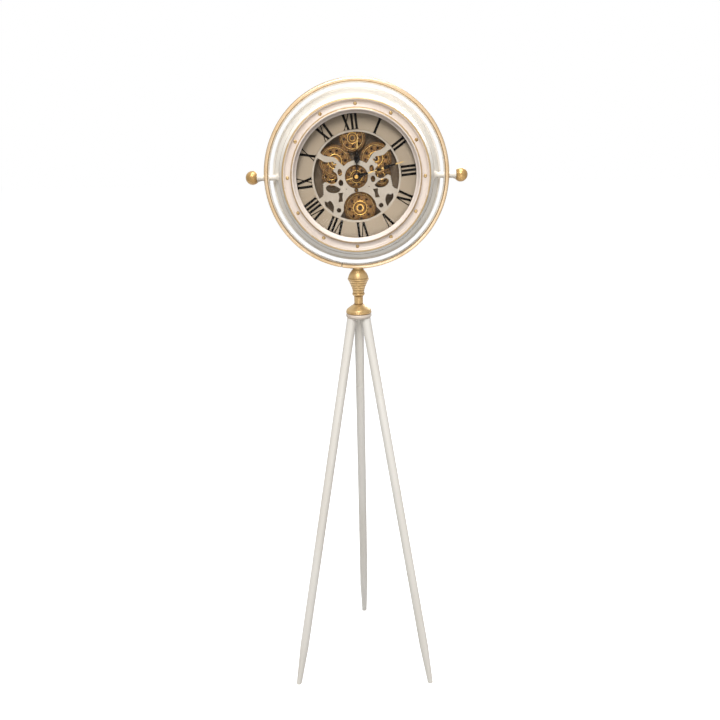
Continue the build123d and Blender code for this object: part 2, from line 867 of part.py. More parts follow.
def meshed_phase(phase, teeth, bearing, other_teeth):
    # Turns the second gear so that a gap meets the first gear's tooth, along the bearing
    arc = radians(phase - bearing) * pitch_radius(teeth) + pi * gear_module / 2
    return bearing + 180 - degrees(arc / pitch_radius(other_teeth))


def tooth_half_angle(radius, pitch):
    # Half the angle that an involute tooth takes up at a radius
    pressure = radians(gear_pressure_angle)
    base = pitch * cos(pressure)
    local = acos(min(1, base / radius))
    half_tooth = (pi * gear_module / 2 - gear_backlash) / (2 * pitch)
    return half_tooth + tan(pressure) - pressure - tan(local) + local


def gear_edge(teeth, phase):
    # The toothed outline of a gear, one tooth after the other
    pitch = pitch_radius(teeth)
    tip = pitch + gear_module
    root = pitch - 1.25 * gear_module
    base_angle = tooth_half_angle(max(root, pitch * cos(radians(gear_pressure_angle))), pitch)
    pitch_angle = tooth_half_angle(pitch, pitch)
    tip_angle = tooth_half_angle(tip, pitch)

    def place(radius, angle):
        return (radius * cos(angle), radius * sin(angle))

    for tooth in range(teeth):
        middle = radians(phase) + 2 * pi * tooth / teeth
        following = middle + 2 * pi / teeth
        ThreePointArc(
            place(root, middle - base_angle),
            place(pitch, middle - pitch_angle),
            place(tip, middle - tip_angle),
        )
        Line(place(tip, middle - tip_angle), place(tip, middle + tip_angle))
        ThreePointArc(
            place(tip, middle + tip_angle),
            place(pitch, middle + pitch_angle),
            place(root, middle + base_angle),
        )
        Line(place(root, middle + base_angle), place(root, following - base_angle))


def star(radius):
    # A pointed star cut out with its centre at the current place
    corners = []
    for corner in range(2 * star_points):
        reach = radius if corner % 2 == 0 else 0.45 * radius
        angle = pi / 2 + corner * pi / star_points
        corners.append((reach * cos(angle), reach * sin(angle)))
    Polygon(*corners, mode=Mode.SUBTRACT)


def wheel_plane(place, s):
    # The dial's turned plane, with its origin moved to a place on the dial
    dial = face_plane(s, dial_turn)
    origin = dial.origin + dial.x_dir * place[0] + dial.y_dir * place[1]
    return Plane(origin=origin, x_dir=dial.x_dir, z_dir=dial.z_dir)


def gear(place, back_s, teeth, phase, bore, windows, ring_radius, hub_radius):
    # A pierced wheel: star windows, a raised ring round its hub, and a plain hub
    pitch = pitch_radius(teeth)
    star_circle = (ring_radius + gear_ring_width / 2 + pitch - gear_rim_width) / 2
    with BuildPart() as wheel:
        with BuildSketch(wheel_plane(place, back_s)):
            with BuildLine():
                gear_edge(teeth, phase)
            make_face()
            if windows:
                with PolarLocations(star_circle, windows):
                    star(gear_star_radius)
        extrude(amount=gear_thickness)
        with BuildSketch(wheel_plane(place, back_s + gear_thickness)):
            Circle(ring_radius + gear_ring_width / 2)
            Circle(ring_radius - gear_ring_width / 2, mode=Mode.SUBTRACT)
            Circle(hub_radius)
        extrude(amount=gear_ring_height)
        with BuildSketch(wheel_plane(place, back_s)):
            Circle(bore)
        extrude(amount=gear_thickness + gear_ring_height, mode=Mode.SUBTRACT)
    return wheel


# Phases: each wheel is turned so that its teeth stand in the gaps of the wheel that drives it
centre_phase = 0
upper_left_phase = meshed_phase(
    centre_phase, centre_front_teeth, upper_left_bearing, upper_teeth
)
upper_right_phase = meshed_phase(
    centre_phase, centre_front_teeth, upper_right_bearing, upper_teeth
)
top_phase = meshed_phase(upper_left_phase, upper_teeth, top_bearing, top_teeth)
bottom_phase = meshed_phase(centre_phase, centre_rear_teeth, bottom_bearing, bottom_teeth)
left_phase = meshed_phase(centre_phase, centre_rear_teeth, left_bearing, side_teeth)
right_phase = meshed_phase(centre_phase, centre_rear_teeth, right_bearing, side_teeth)
pinion_phase = meshed_phase(bottom_phase, bottom_teeth, pinion_bearing, pinion_teeth)

arbor_bore = arbor_radius + gear_bore_clearance
upper_ring_radius = 0.44 * pitch_radius(upper_teeth)
top_ring_radius = 0.4 * pitch_radius(top_teeth)
bottom_ring_radius = 0.42 * pitch_radius(bottom_teeth)
side_ring_radius = 0.38 * pitch_radius(side_teeth)
wheel_hub_radius = 1.2 * arbor_head_radius

upper_left_gear = gear(
    upper_left_place, gear_front_s, upper_teeth, upper_left_phase, arbor_bore,
    upper_window_count, upper_ring_radius, wheel_hub_radius,
)
save(upper_left_gear, "upper_left_gear")
upper_right_gear = gear(
    upper_right_place, gear_front_s, upper_teeth, upper_right_phase, arbor_bore,
    upper_window_count, upper_ring_radius, wheel_hub_radius,
)
save(upper_right_gear, "upper_right_gear")
top_gear = gear(
    top_place, gear_front_s, top_teeth, top_phase, arbor_bore,
    wide_window_count, top_ring_radius, wheel_hub_radius,
)
save(top_gear, "top_gear")
bottom_gear = gear(
    bottom_place, gear_rear_s, bottom_teeth, bottom_phase, arbor_bore,
    wide_window_count, bottom_ring_radius, wheel_hub_radius,
)
save(bottom_gear, "bottom_gear")
left_gear = gear(
    left_place, gear_rear_s, side_teeth, left_phase, arbor_bore,
    side_window_count, side_ring_radius, wheel_hub_radius,
)
save(left_gear, "left_gear")
right_gear = gear(
    right_place, gear_rear_s, side_teeth, right_phase, arbor_bore,
    side_window_count, side_ring_radius, wheel_hub_radius,
)
save(right_gear, "right_gear")

# The centre wheel is a small wheel in front of a large one, on one hub round the movement's bush
carrier_front_s = carrier_s + carrier_thickness
centre_hub_s = carrier_front_s + movement_nut_height + gear_end_clearance
centre_front_top = gear_front_s + gear_thickness
centre_ring_radius = 0.56 * pitch_radius(centre_front_teeth)
with BuildPart() as centre_gear:
    with BuildSketch(wheel_plane((0, 0), gear_front_s)):
        with BuildLine():
            gear_edge(centre_front_teeth, centre_phase)
        make_face()
        with PolarLocations(0.78 * pitch_radius(centre_front_teeth), centre_front_window_count):
            star(0.8 * gear_star_radius)
    extrude(amount=gear_thickness)
    with BuildSketch(wheel_plane((0, 0), centre_front_top)):
        Circle(centre_ring_radius + gear_ring_width / 2)
        Circle(centre_ring_radius - gear_ring_width / 2, mode=Mode.SUBTRACT)
    extrude(amount=gear_ring_height)
    with BuildSketch(wheel_plane((0, 0), gear_rear_s)):
        with BuildLine():
            gear_edge(centre_rear_teeth, centre_phase)
        make_face()
        with PolarLocations(0.62 * pitch_radius(centre_rear_teeth), wide_window_count):
            star(gear_star_radius)
    extrude(amount=gear_thickness)
    with BuildSketch(wheel_plane((0, 0), centre_hub_s)):
        Circle(centre_hub_radius)
    extrude(amount=centre_front_top - centre_hub_s)
    with BuildSketch(wheel_plane((0, 0), centre_hub_s)):
        Circle(movement_bush_radius + gear_bore_clearance)
    extrude(amount=centre_front_top - centre_hub_s, mode=Mode.SUBTRACT)
save(centre_gear, "centre_gear")

# Pinion of the gear motor, in one piece with its shaft
with BuildPart() as motor_pinion:
    with BuildSketch(wheel_plane(pinion_place, gear_rear_s)):
        with BuildLine():
            gear_edge(pinion_teeth, pinion_phase)
        make_face()
    extrude(amount=gear_thickness)
    with BuildSketch(wheel_plane(pinion_place, carrier_s - gear_motor_depth / 2)):
        Circle(gear_motor_shaft_radius)
    extrude(amount=gear_rear_s - carrier_s + gear_motor_depth / 2)
save(motor_pinion, "motor_pinion")

# Carrier plate: it fills the case at the shoulder and holds all the works
carrier_radius = shell_shoulder_radius - shell_shoulder_step - shell_wall - carrier_margin
with BuildPart() as carrier_plate:
    with BuildSketch(face_plane(carrier_s)):
        Circle(carrier_radius)
        Circle(movement_bush_radius, mode=Mode.SUBTRACT)
        with PolarLocations(dial_post_circle, dial_post_count, dial_post_start_angle):
            Circle(dial_post_radius / 2, mode=Mode.SUBTRACT)
    extrude(amount=carrier_thickness)
    for place in front_arbor_places + rear_arbor_places:
        with BuildSketch(wheel_plane(place, carrier_s)):
            Circle(arbor_radius)
        extrude(amount=carrier_thickness, mode=Mode.SUBTRACT)
    with BuildSketch(wheel_plane(pinion_place, carrier_s)):
        Circle(2 * gear_motor_shaft_radius)
    extrude(amount=carrier_thickness, mode=Mode.SUBTRACT)
save(carrier_plate, "carrier_plate")

# Shouldered arbors with round heads, and the spacers behind the wheels
wheel_stack = gear_thickness + gear_ring_height + gear_end_clearance
with BuildPart() as gear_arbors:
    for places, back_s in ((front_arbor_places, gear_front_s), (rear_arbor_places, gear_rear_s)):
        for place in places:
            with BuildSketch(wheel_plane(place, carrier_s)):
                Circle(arbor_radius)
            extrude(amount=back_s + wheel_stack - carrier_s)
            with BuildSketch(wheel_plane(place, back_s + wheel_stack)):
                Circle(arbor_head_radius)
            extrude(amount=arbor_head_height)
    fillet(
        gear_arbors.edges().filter_by(GeomType.CIRCLE).filter_by(
            lambda edge: edge.radius == arbor_head_radius
        ).group_by(Axis.Y)[0],
        arbor_head_height / 2,
    )
save(gear_arbors, "gear_arbors")

with BuildPart() as gear_spacers:
    for places, back_s in ((front_arbor_places, gear_front_s), (rear_arbor_places, gear_rear_s)):
        for place in places:
            with BuildSketch(wheel_plane(place, carrier_front_s)):
                Circle(spacer_radius)
                Circle(arbor_radius, mode=Mode.SUBTRACT)
            extrude(amount=back_s - gear_end_clearance - carrier_front_s)
save(gear_spacers, "gear_spacers")

# Gear motor behind the carrier plate
with BuildPart() as gear_motor:
    with BuildSketch(wheel_plane(pinion_place, carrier_s - gear_motor_depth)):
        Circle(gear_motor_radius)
        Circle(gear_motor_shaft_radius + gear_bore_clearance, mode=Mode.SUBTRACT)
    extrude(amount=gear_motor_depth)
    fillet(gear_motor.faces().sort_by(Axis.Y)[-1].outer_wire().edges(), gear_motor_edge_radius)
save(gear_motor, "gear_motor")

# Posts that hold the dial off the carrier plate
with BuildPart() as dial_posts:
    with BuildSketch(face_plane(carrier_front_s)):
        with PolarLocations(dial_post_circle, dial_post_count, dial_post_start_angle):
            Circle(dial_post_radius)
    extrude(amount=dial_s - carrier_front_s)
    with BuildSketch(face_plane(carrier_s)):
        with PolarLocations(dial_post_circle, dial_post_count, dial_post_start_angle):
            Circle(dial_post_radius / 2)
    extrude(amount=carrier_thickness)
save(dial_posts, "dial_posts")

with BuildPart() as dial_plate:
    with BuildSketch(face_plane(dial_s)):
        Circle(dial_radius)
        Circle(dial_bore, mode=Mode.SUBTRACT)
    extrude(amount=dial_thickness)
save(dial_plate, "dial_plate")

# Skeleton plate: the right half of each window, as shares of the window's radius
top_window_floor_share = 0.37
top_window_shares = (
    (0.765, 0.628), (0.692, 0.560), (0.588, 0.522), (0.484, 0.500), (0.420, 0.452),
    (0.335, 0.345), (0.262, 0.268),
)
side_brow_shares = (
    (0.855, 0.518), (0.780, 0.478), (0.690, 0.415), (0.590, 0.398), (0.500, 0.402),
)
side_hook_shares = (
    (0.500, 0.402), (0.478, 0.372), (0.500, 0.340), (0.468, 0.322), (0.455, 0.262),
    (0.520, 0.225), (0.515, 0.182),
)
side_lobe_shares = (
    (0.515, 0.182), (0.480, 0.150), (0.447, 0.110), (0.440, 0.040), (0.452, -0.030),
    (0.510, -0.085), (0.640, -0.088), (0.722, -0.040), (0.778, -0.060),
)
side_end_shares = (0.842, -0.350)
side_corner_shares = (0.922, -0.399)
bean_window_shares = (
    (0.402, -0.228), (0.435, -0.282), (0.535, -0.312), (0.650, -0.290), (0.722, -0.236),
    (0.742, -0.172), (0.700, -0.122), (0.615, -0.116), (0.530, -0.142), (0.455, -0.190),
)
waisted_window_shares = (
    (0.352, -0.322), (0.470, -0.318), (0.457, -0.420), (0.492, -0.528), (0.383, -0.524),
    (0.386, -0.423),
)
heart_window_shares = (
    (0.655, -0.760), (0.615, -0.655), (0.640, -0.520), (0.700, -0.470), (0.742, -0.500),
    (0.800, -0.470), (0.812, -0.545), (0.745, -0.650),
)
oval_windows_shares = ((0.374, 0.140, 0.108, 0.16), (0.378, -0.096, 0.112, 0.146))
triangle_place_shares = (0.267, -0.255)
round_hole_place_shares = (0.501, -0.715)
hook_hole_place_shares = (0.452, 0.330)
arch_centre_share = -0.735
arch_corner_shares = (0.49, -0.87)


def sized(shares, side=1):
    # Points of one window, on the right or mirrored to the left
    return [(side * window_radius * across, window_radius * up) for across, up in shares]


def toothed_run(side):
    # The short teeth on the outer edge of a lower lobe, from the top down
    points = []
    top = window_radius * side_lobe_shares[-1][1]
    bottom = window_radius * side_end_shares[1]
    edge = window_radius * side_lobe_shares[-1][0]
    step = (top - bottom) / (2 * skeleton_tooth_count)
    for notch in range(1, 2 * skeleton_tooth_count):
        lean = 0.1 * (top - bottom) * notch / skeleton_tooth_count
        depth = skeleton_tooth_depth if notch % 2 else 0
        points.append((side * (edge + lean / 2 + depth), top - step * notch))
    return points


with BuildPart() as skeleton_plate:
    with BuildSketch(face_plane(dial_s - skeleton_thickness, dial_turn)):
        Circle(skeleton_radius)
        with BuildSketch(mode=Mode.PRIVATE) as top_window:
            left = sized(top_window_shares, -1)
            right = sized(top_window_shares)
            with BuildLine():
                Spline(*right)
                ThreePointArc(right[-1], (0, top_window_floor_share * window_radius), left[-1])
                Spline(*left)
                ThreePointArc(left[0], (0, 1.1 * window_radius), right[0])
            make_face()
        with BuildSketch(mode=Mode.PRIVATE) as side_windows:
            for side in (-1, 1):
                brow = sized(side_brow_shares, side)
                lobe = sized(side_lobe_shares, side)
                end, corner = sized((side_end_shares, side_corner_shares), side)
                with BuildLine():
                    Spline(*brow)
                    Polyline(*sized(side_hook_shares, side))
                    Spline(*lobe)
                    Polyline(lobe[-1], *toothed_run(side), end, corner)
                    ThreePointArc(corner, (1.1 * side * window_radius, 0), brow[0])
                make_face()
        with BuildSketch(mode=Mode.PRIVATE) as arch_window:
            with Locations((0, arch_centre_share * window_radius)):
                Circle(skeleton_arch_radius)
            across = arch_corner_shares[0] * window_radius
            low = arch_corner_shares[1] * window_radius
            middle = arch_centre_share * window_radius
            Polygon(
                (-across, low), (-skeleton_arch_radius, middle), (skeleton_arch_radius, middle),
                (across, low), (0, -1.1 * window_radius), align=None,
            )
        with BuildSketch(mode=Mode.PRIVATE) as openings:
            Circle(window_radius)
            with BuildSketch(mode=Mode.PRIVATE) as all_windows:
                add(top_window.sketch)
                add(side_windows.sketch)
                add(arch_window.sketch)
            add(all_windows.sketch, mode=Mode.INTERSECT)
        add(openings.sketch, mode=Mode.SUBTRACT)
        Circle(skeleton_ring_bore, mode=Mode.SUBTRACT)
        for side in (-1, 1):
            Polygon(*sized(waisted_window_shares, side), align=None, mode=Mode.SUBTRACT)
            for window in (bean_window_shares, heart_window_shares):
                corners = sized(window, side)
                with BuildLine():
                    Spline(*corners, corners[0])
                make_face(mode=Mode.SUBTRACT)
            for across, up, width, height in oval_windows_shares:
                with Locations(sized(((across, up),), side)[0]):
                    Ellipse(
                        width * window_radius / 2, height * window_radius / 2, mode=Mode.SUBTRACT
                    )
            with Locations(sized((triangle_place_shares,), side)[0]):
                RegularPolygon(screw_eye_bore, 3, mode=Mode.SUBTRACT)
            with Locations(sized((round_hole_place_shares,), side)[0]):
                Circle(skeleton_round_hole_radius, mode=Mode.SUBTRACT)
            with Locations(sized((hook_hole_place_shares,), side)[0]):
                Circle(skeleton_hook_hole_radius, mode=Mode.SUBTRACT)
        with Locations((screw_eye_x, screw_eye_z)):
            Circle(screw_eye_shank_radius, mode=Mode.SUBTRACT)
    extrude(amount=skeleton_thickness)
save(skeleton_plate, "skeleton_plate")

# Eyelet in the skeleton plate under its ring
with BuildPart() as skeleton_eyelet:
    with BuildSketch(face_plane(dial_s - skeleton_thickness, dial_turn)):
        with Locations((screw_eye_x, screw_eye_z)):
            Circle(screw_eye_shank_radius)
            Circle(screw_eye_bore, mode=Mode.SUBTRACT)
    extrude(amount=skeleton_thickness)
    with BuildSketch(face_plane(dial_s, dial_turn)):
        with Locations((screw_eye_x, screw_eye_z)):
            Circle(screw_eye_radius)
            Circle(screw_eye_bore, mode=Mode.SUBTRACT)
    extrude(amount=screw_eye_height)
save(skeleton_eyelet, "skeleton_eyelet")


def slanted(foot_x, head_x, width):
    # A straight stroke from the numeral's foot to its head
    bottom = numeral_serif_height / 2
    top = numeral_height - numeral_serif_height / 2
    Polygon(
        (foot_x - width / 2, bottom), (foot_x + width / 2, bottom),
        (head_x + width / 2, top), (head_x - width / 2, top), align=None,
    )


def serif(middle_x, stroke, level):
    # A thin bar across the end of a stroke
    with Locations((middle_x, level)):
        Rectangle(stroke + 2 * numeral_serif_overhang, numeral_serif_height)


def letter(character, x):
    # One letter of a numeral, with its left side at x
    foot = numeral_serif_height / 2
    head = numeral_height - foot
    thick, thin = numeral_thick_stroke, numeral_thin_stroke
    if character == "I":
        middle = x + numeral_i_width / 2
        slanted(middle, middle, thick)
        serif(middle, thick, foot)
        serif(middle, thick, head)
        return numeral_i_width
    left = x + numeral_serif_overhang + thick / 2
    right = x + numeral_vx_width - numeral_serif_overhang - thin / 2
    if character == "V":
        middle = (left + right) / 2
        slanted(middle, left, thick)
        slanted(middle + thin / 2, right, thin)
    else:
        slanted(right - thick / 2, left, thick)
        slanted(left, right, thin)
        serif(left, thin, foot)
        serif(right - thick / 2, thick, foot)
    serif(left, thick, head)
    serif(right, thin, head)
    return numeral_vx_width


def numeral_width(text):
    return sum(numeral_i_width if one == "I" else numeral_vx_width for one in text)


numeral_texts = ("I", "II", "III", "IV", "V", "VI", "VII", "VIII", "IX", "X", "XI", "XII")
with BuildPart() as numerals:
    for hour, text in enumerate(numeral_texts, start=1):
        numeral_plane = face_plane(dial_s + dial_thickness, dial_turn - 30 * hour)
        base = numeral_plane.origin + numeral_plane.y_dir * numeral_inner_radius
        with BuildSketch(
            Plane(origin=base, x_dir=numeral_plane.x_dir, z_dir=numeral_plane.z_dir)
        ):
            x = -numeral_width(text) / 2
            for character in text:
                x = x + letter(character, x)
        extrude(amount=numeral_thickness)
save(numerals, "numerals")

# Quartz movement: its case with a battery bay, its threaded bush and the nut on the carrier
movement_back_s = carrier_s - movement_depth
battery_bay_width = battery_length + 2 * battery_button_length
hour_bore = hour_tube_radius + running_clearance
minute_bore = minute_arbor_radius + running_clearance
movement_floor_s = carrier_s - battery_box_wall
with BuildPart() as movement_case:
    with BuildSketch(face_plane(movement_back_s)):
        RectangleRounded(movement_width, movement_width, movement_corner)
    extrude(amount=movement_depth)
    with BuildSketch(face_plane(movement_back_s)):
        with Locations((0, -movement_battery_drop)):
            Rectangle(battery_bay_width, 2 * battery_radius)
    extrude(amount=movement_floor_s - movement_back_s, mode=Mode.SUBTRACT)
    with BuildSketch(face_plane(movement_back_s)):
        Circle(minute_bore)
    extrude(amount=movement_depth, mode=Mode.SUBTRACT)
    with BuildSketch(face_plane(hour_tube_start_s - gear_end_clearance)):
        Circle(hour_bore)
    extrude(amount=movement_depth, mode=Mode.SUBTRACT)
save(movement_case, "movement_case")

with BuildPart() as movement_bush:
    with BuildSketch(face_plane(carrier_s)):
        Circle(movement_bush_radius)
        Circle(hour_bore, mode=Mode.SUBTRACT)
    extrude(amount=movement_bush_end_s - carrier_s)
save(movement_bush, "movement_bush")

# Nuts on the bush: a hexagon that clamps the carrier, and a thin ring before the centre wheel
with BuildPart() as bush_nuts:
    with BuildSketch(face_plane(carrier_front_s)):
        RegularPolygon(movement_nut_flats / 2, 6, major_radius=False)
        Circle(movement_bush_radius, mode=Mode.SUBTRACT)
    extrude(amount=movement_nut_height)
    with BuildSketch(face_plane(centre_front_top + gear_end_clearance)):
        Circle(1.5 * movement_bush_radius)
        Circle(movement_bush_radius, mode=Mode.SUBTRACT)
    extrude(amount=gear_ring_height)
save(bush_nuts, "bush_nuts")

hour_hand_front_s = hour_hand_s + hand_thickness
minute_hand_front_s = minute_hand_s + hand_thickness
with BuildPart() as hour_tube:
    with BuildSketch(face_plane(hour_tube_start_s)):
        Circle(hour_tube_radius)
        Circle(minute_bore, mode=Mode.SUBTRACT)
    extrude(amount=hour_hand_front_s - hour_tube_start_s)
save(hour_tube, "hour_tube")

setting_wheel_s = movement_back_s - setting_wheel_gap - setting_wheel_thickness
with BuildPart() as minute_arbor:
    with BuildSketch(face_plane(setting_wheel_s)):
        Circle(minute_arbor_radius)
    extrude(amount=minute_hand_front_s - setting_wheel_s)
save(minute_arbor, "minute_arbor")

# Knurled wheel behind the movement, on the minute arbor, which sets the hands
with BuildPart() as setting_wheel:
    with BuildSketch(face_plane(setting_wheel_s)):
        Circle(setting_wheel_radius)
        with PolarLocations(setting_wheel_radius, setting_wheel_notches):
            Circle(setting_wheel_notch_radius, mode=Mode.SUBTRACT)
        Circle(minute_arbor_radius, mode=Mode.SUBTRACT)
    extrude(amount=setting_wheel_thickness)
save(setting_wheel, "setting_wheel")

# Hour hand: a boss, a thin stem, a spade and a long tip
with BuildPart() as hour_hand:
    spade_foot = 0.32 * hour_hand_length
    spade_wide = 0.43 * hour_hand_length
    spade_top = 0.66 * hour_hand_length
    half_spade = hour_spade_width / 2
    half_tip = hand_tip_width / 2
    with BuildSketch(face_plane(hour_hand_s, hour_hand_bearing)):
        Circle(hand_boss_radius)
        Polygon(
            (-hand_shaft_width / 2, 0), (hand_shaft_width / 2, 0),
            (half_tip, hour_hand_length), (-half_tip, hour_hand_length), align=None,
        )
        with BuildLine():
            ThreePointArc(
                (-half_tip, spade_foot), (-0.8 * half_spade, (spade_foot + spade_wide) / 2),
                (-half_spade, spade_wide),
            )
            ThreePointArc(
                (-half_spade, spade_wide), (-0.6 * half_spade, (spade_wide + spade_top) / 2),
                (-half_tip, spade_top),
            )
            Line((-half_tip, spade_top), (half_tip, spade_top))
            ThreePointArc(
                (half_tip, spade_top), (0.6 * half_spade, (spade_wide + spade_top) / 2),
                (half_spade, spade_wide),
            )
            ThreePointArc(
                (half_spade, spade_wide), (0.8 * half_spade, (spade_foot + spade_wide) / 2),
                (half_tip, spade_foot),
            )
            Line((half_tip, spade_foot), (-half_tip, spade_foot))
        make_face()
        Circle(hour_tube_radius, mode=Mode.SUBTRACT)
    extrude(amount=hand_thickness)
save(hour_hand, "hour_hand")

# Minute hand: a boss, a wedge, a thin shaft, a narrow spade and a tip
with BuildPart() as minute_hand:
    half_wedge = minute_wedge_width / 2
    half_shaft = hand_shaft_width / 2
    half_spade = minute_spade_width / 2
    wedge_top = 0.26 * minute_hand_length
    spade_foot = 0.55 * minute_hand_length
    spade_wide = 0.61 * minute_hand_length
    spade_top = 0.83 * minute_hand_length
    with BuildSketch(face_plane(minute_hand_s, minute_hand_bearing)):
        Circle(hand_boss_radius)
        Polygon(
            (-half_wedge, 0), (half_wedge, 0), (half_shaft, wedge_top),
            (-half_shaft, wedge_top), align=None,
        )
        Polygon(
            (-half_shaft, 0), (half_shaft, 0), (half_tip, minute_hand_length),
            (-half_tip, minute_hand_length), align=None,
        )
        Polygon(
            (-half_tip, spade_foot), (half_tip, spade_foot), (half_spade, spade_wide),
            (half_tip, spade_top), (-half_tip, spade_top), (-half_spade, spade_wide), align=None,
        )
        Circle(minute_arbor_radius, mode=Mode.SUBTRACT)
    extrude(amount=hand_thickness)
save(minute_hand, "minute_hand")

with BuildPart() as hand_cap:
    with BuildSketch(face_plane(minute_hand_front_s)):
        Circle(hand_cap_radius)
    extrude(amount=hand_cap_height)
    fillet(hand_cap.faces().sort_by(Axis.Y)[0].edges(), 0.8 * hand_cap_height)
save(hand_cap, "hand_cap")


def battery(middle_x, z, s):
    # A round cell that lies along X, with its button on the right
    end = middle_x - battery_length / 2
    middle = Plane(origin=(end, stand_y - s, z), z_dir=(1, 0, 0))
    with BuildSketch(middle) as can:
        Circle(battery_radius)
    extrude(to_extrude=can.sketch, amount=battery_length)
    with BuildSketch(middle) as button:
        Circle(battery_button_radius)
    extrude(to_extrude=button.sketch, amount=battery_length + battery_button_length)


# Battery box of the gear motor, let into the rear cover
box_floor_s = cover_outer_s + battery_box_depth - battery_box_wall
with BuildPart() as battery_box:
    with BuildSketch(face_plane(cover_outer_s)):
        with Locations((0, -battery_box_drop)):
            Rectangle(battery_box_width, battery_box_height)
    extrude(amount=battery_box_depth)
    with BuildSketch(face_plane(cover_outer_s - battery_box_flange_thickness)):
        with Locations((0, -battery_box_drop)):
            RectangleRounded(
                battery_box_width + 2 * battery_box_flange,
                battery_box_height + 2 * battery_box_flange,
                battery_box_flange / 2,
            )
    extrude(amount=battery_box_flange_thickness)
    with BuildSketch(face_plane(cover_outer_s - battery_box_flange_thickness)):
        with Locations((0, -battery_box_drop)):
            Rectangle(
                battery_box_width - 2 * battery_box_wall, battery_box_height - 2 * battery_box_wall
            )
    extrude(
        amount=box_floor_s - cover_outer_s + battery_box_flange_thickness, mode=Mode.SUBTRACT
    )
save(battery_box, "battery_box")

# One cell in the movement's bay and two in the box
with BuildPart() as batteries:
    battery(0, head_z - movement_battery_drop, movement_floor_s - battery_radius)
    battery(0, battery_box_z + battery_pitch / 2, box_floor_s - battery_radius)
    battery(0, battery_box_z - battery_pitch / 2, box_floor_s - battery_radius)
save(batteries, "batteries")

# Sliding lid of the battery box, with raised grip bars
lid_front_s = cover_outer_s - battery_box_flange_thickness - battery_lid_gap
lid_width = battery_box_width + 2 * battery_box_flange
lid_height = battery_box_height + 2 * battery_box_flange
with BuildPart() as battery_lid:
    with BuildSketch(face_plane(lid_front_s - battery_lid_thickness)):
        with Locations((0, -battery_box_drop)):
            RectangleRounded(lid_width, lid_height, battery_box_flange / 2)
    extrude(amount=battery_lid_thickness)
    grip_s = lid_front_s - battery_lid_thickness - battery_lid_grip_height
    with BuildSketch(face_plane(grip_s)):
        with Locations((-lid_width / 2 + battery_lid_grip_count * battery_box_flange / 2,
                        -battery_box_drop)):
            with GridLocations(battery_box_flange / 1.5, 0, battery_lid_grip_count, 1):
                Rectangle(battery_lid_grip_width, lid_height / 3)
    extrude(amount=battery_lid_grip_height)
save(battery_lid, "battery_lid")

# Slide switch of the gear motor: its body behind the cover, its knob through the slot
with BuildPart() as power_switch:
    stem_end_s = shell_back_s + switch_stem_reach
    with BuildSketch(face_plane(shell_back_s)):
        with Locations((switch_x + switch_travel / 2, -switch_drop)):
            Rectangle(switch_body_length, switch_body_height)
            Rectangle(switch_slot_length, switch_slot_height, mode=Mode.SUBTRACT)
    extrude(amount=switch_stem_reach + switch_clearance)
    with BuildSketch(face_plane(stem_end_s + switch_clearance)):
        with Locations((switch_x + switch_travel / 2, -switch_drop)):
            Rectangle(switch_body_length, switch_body_height)
    extrude(amount=switch_body_depth - switch_stem_reach)
save(power_switch, "power_switch")

with BuildPart() as switch_knob:
    knob_back_s = cover_outer_s - switch_clearance
    with BuildSketch(face_plane(knob_back_s - switch_knob_thickness)):
        with Locations((switch_x, -switch_drop)):
            Rectangle(switch_knob_length, switch_knob_height)
    extrude(amount=switch_knob_thickness)
    with BuildSketch(face_plane(knob_back_s)):
        with Locations((switch_x, -switch_drop)):
            Rectangle(switch_stem_length, switch_stem_height)
    extrude(amount=stem_end_s - knob_back_s)
    with BuildSketch(face_plane(knob_back_s - switch_knob_thickness)):
        with Locations((switch_x, -switch_drop)):
            with GridLocations(switch_knob_length / 3, 0, 3, 1):
                Rectangle(switch_clearance, switch_knob_height)
    extrude(amount=switch_clearance, mode=Mode.SUBTRACT)
save(switch_knob, "switch_knob")

# Pivot rods: each is seated on the case with a flare, runs in the hoop's bush and ends in a thread
knob_x = overall_width / 2 - knob_radius
rod_shoulder_x = hoop_radius + neck_gap
rod_end_x = knob_x - knob_radius + knob_thread_depth
flare_end_x = rod_nut_outer_x + 1.4 * rod_flare_length

with BuildPart() as right_rod:
    with BuildSketch(tilt_profile):
        with BuildLine():
            Polyline(
                (rod_nut_outer_x, 0),
                (rod_nut_outer_x, rod_flare_radius),
                (flare_end_x - rod_flare_length, rod_flare_radius),
            )
            ThreePointArc(
                (flare_end_x - rod_flare_length, rod_flare_radius),
                (
                    flare_end_x - 0.7 * rod_flare_length,
                    rod_radius + 0.3 * (rod_flare_radius - rod_radius),
                ),
                (flare_end_x, rod_radius),
            )
            Polyline(
                (flare_end_x, rod_radius),
                (rod_shoulder_x, rod_radius),
                (rod_shoulder_x, rod_thread_radius),
                (rod_end_x, rod_thread_radius),
                (rod_end_x, 0),
                (rod_nut_outer_x, 0),
            )
        make_face()
    revolve(axis=tilt_axis)
    add(case_form.part, mode=Mode.SUBTRACT)
    with BuildSketch(Plane(origin=(rod_inner_end, stand_y, head_z), z_dir=(1, 0, 0))):
        Circle(rod_thread_radius)
    extrude(amount=rod_shoulder_x - rod_inner_end)

with BuildPart() as pivot_rods:
    add(right_rod.part)
    mirror(right_rod.part, about=Plane.YZ)
save(pivot_rods, "pivot_rods")

with BuildPart() as rod_nuts:
    with BuildSketch(Plane(origin=(rod_nut_outer_x, stand_y, head_z), z_dir=(-1, 0, 0))):
        RegularPolygon(nut_flats / 2, 6, major_radius=False)
        Circle(rod_thread_radius, mode=Mode.SUBTRACT)
    extrude(amount=nut_height)
    mirror(about=Plane.YZ)
save(rod_nuts, "rod_nuts")

